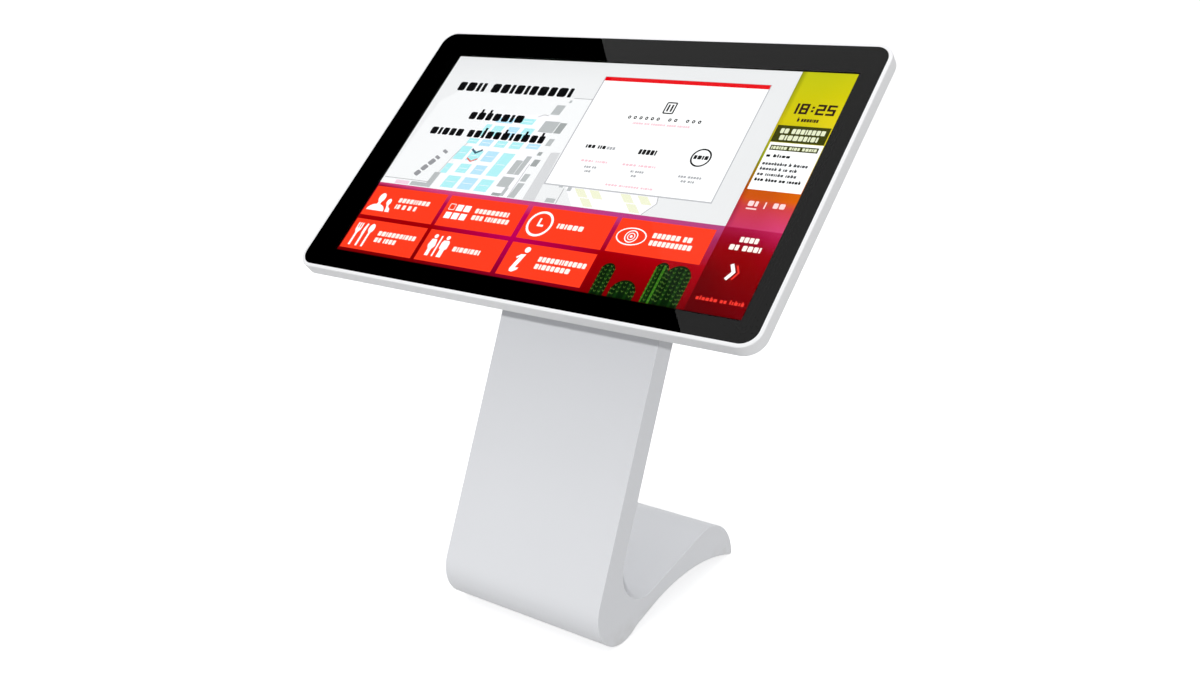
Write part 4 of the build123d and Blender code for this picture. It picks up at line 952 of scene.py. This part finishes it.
def make_floor():
    mesh = bpy.data.meshes.new("floor")
    corners = [(x * FLOOR_HALF, y * FLOOR_HALF, 0) for x, y in ((-1, -1), (1, -1), (1, 1), (-1, 1))]
    mesh.from_pydata(corners, [], [(0, 1, 2, 3)])
    m = Finish("studio_floor", Emission_Color=WHITE, Emission_Strength=FLOOR_GLOW)
    m.base(m.mix(m.noise(1.5, 4), colour(246, 246, 246), colour(242, 242, 243)))
    m.roughness(m.noise(20, 3), 0.7, 0.8)
    mesh.materials.append(m.material)
    floor = stand(mesh, Matrix())
    floor.visible_diffuse = False


def make_lights():
    """A sun beside the camera, and soft boxes of which the glass mirrors only the one overhead."""
    sun = bpy.data.lights.new("key", "SUN")
    sun.energy, sun.angle = SUN_STRENGTH, math.radians(SUN_SPREAD)
    key = stand(sun, Matrix.Rotation(math.radians(SUN_TURN), 4, "Z")
                @ Matrix.Rotation(math.radians(90 - SUN_HEIGHT), 4, "X"))
    key.visible_glossy = key.visible_transmission = False
    for name, centre, facing, size, glow, mirrored in SOFT_BOXES:
        light = bpy.data.lights.new(name, "AREA")
        light.shape, (light.size, light.size_y) = "RECTANGLE", size
        light.energy = glow * math.pi * size[0] * size[1]
        if facing is None:
            turn = Matrix.Rotation(math.radians(BANK_TURN), 4, "Z")
        else:
            turn = (Vector(facing) - Vector(centre)).to_track_quat("-Z", "Y").to_matrix().to_4x4()
        box = stand(light, Matrix.Translation(centre) @ turn)
        box.visible_camera = box.visible_transmission = False
        box.visible_glossy = mirrored


def make_world():
    """A surround that is white to the camera and dark overhead to the glass, and lights from all round."""
    world = bpy.data.worlds.new("studio")
    world.use_nodes = True
    bpy.context.scene.world = world
    tree = world.node_tree
    background = tree.nodes["Background"]
    paths = new_node(tree, "ShaderNodeLightPath", {}).outputs
    way = new_node(tree, "ShaderNodeTexCoord", {}).outputs["Generated"]
    rise = new_node(tree, "ShaderNodeSeparateXYZ", {0: way}).outputs["Z"]
    spread = map_range(tree, rise, FILL_FROM, FILL_TO, SIDE_FILL, TOP_FILL)
    mirrored = map_range(tree, rise, MIRROR_FROM, MIRROR_TO, MIRROR_SIDE, MIRROR_TOP)
    off_surface = map_range(tree, paths["Is Glossy Ray"], 0, 1, spread, mirrored)
    unseen = map_range(tree, paths["Is Transmission Ray"], 0, 1, off_surface, 0.0)
    background.inputs["Color"].default_value = SURROUND
    feed(tree, background.inputs["Strength"], map_range(tree, paths["Is Camera Ray"], 0, 1, unseen, 1.0))


make_camera()
finish_nodes()
draw_backdrop()
draw_map()
draw_card()
draw_tiles()
draw_icons()
draw_sidebar()
draw_plants()
make_floor()
make_lights()
make_world()
bpy.context.scene.view_settings.view_transform = "Standard"
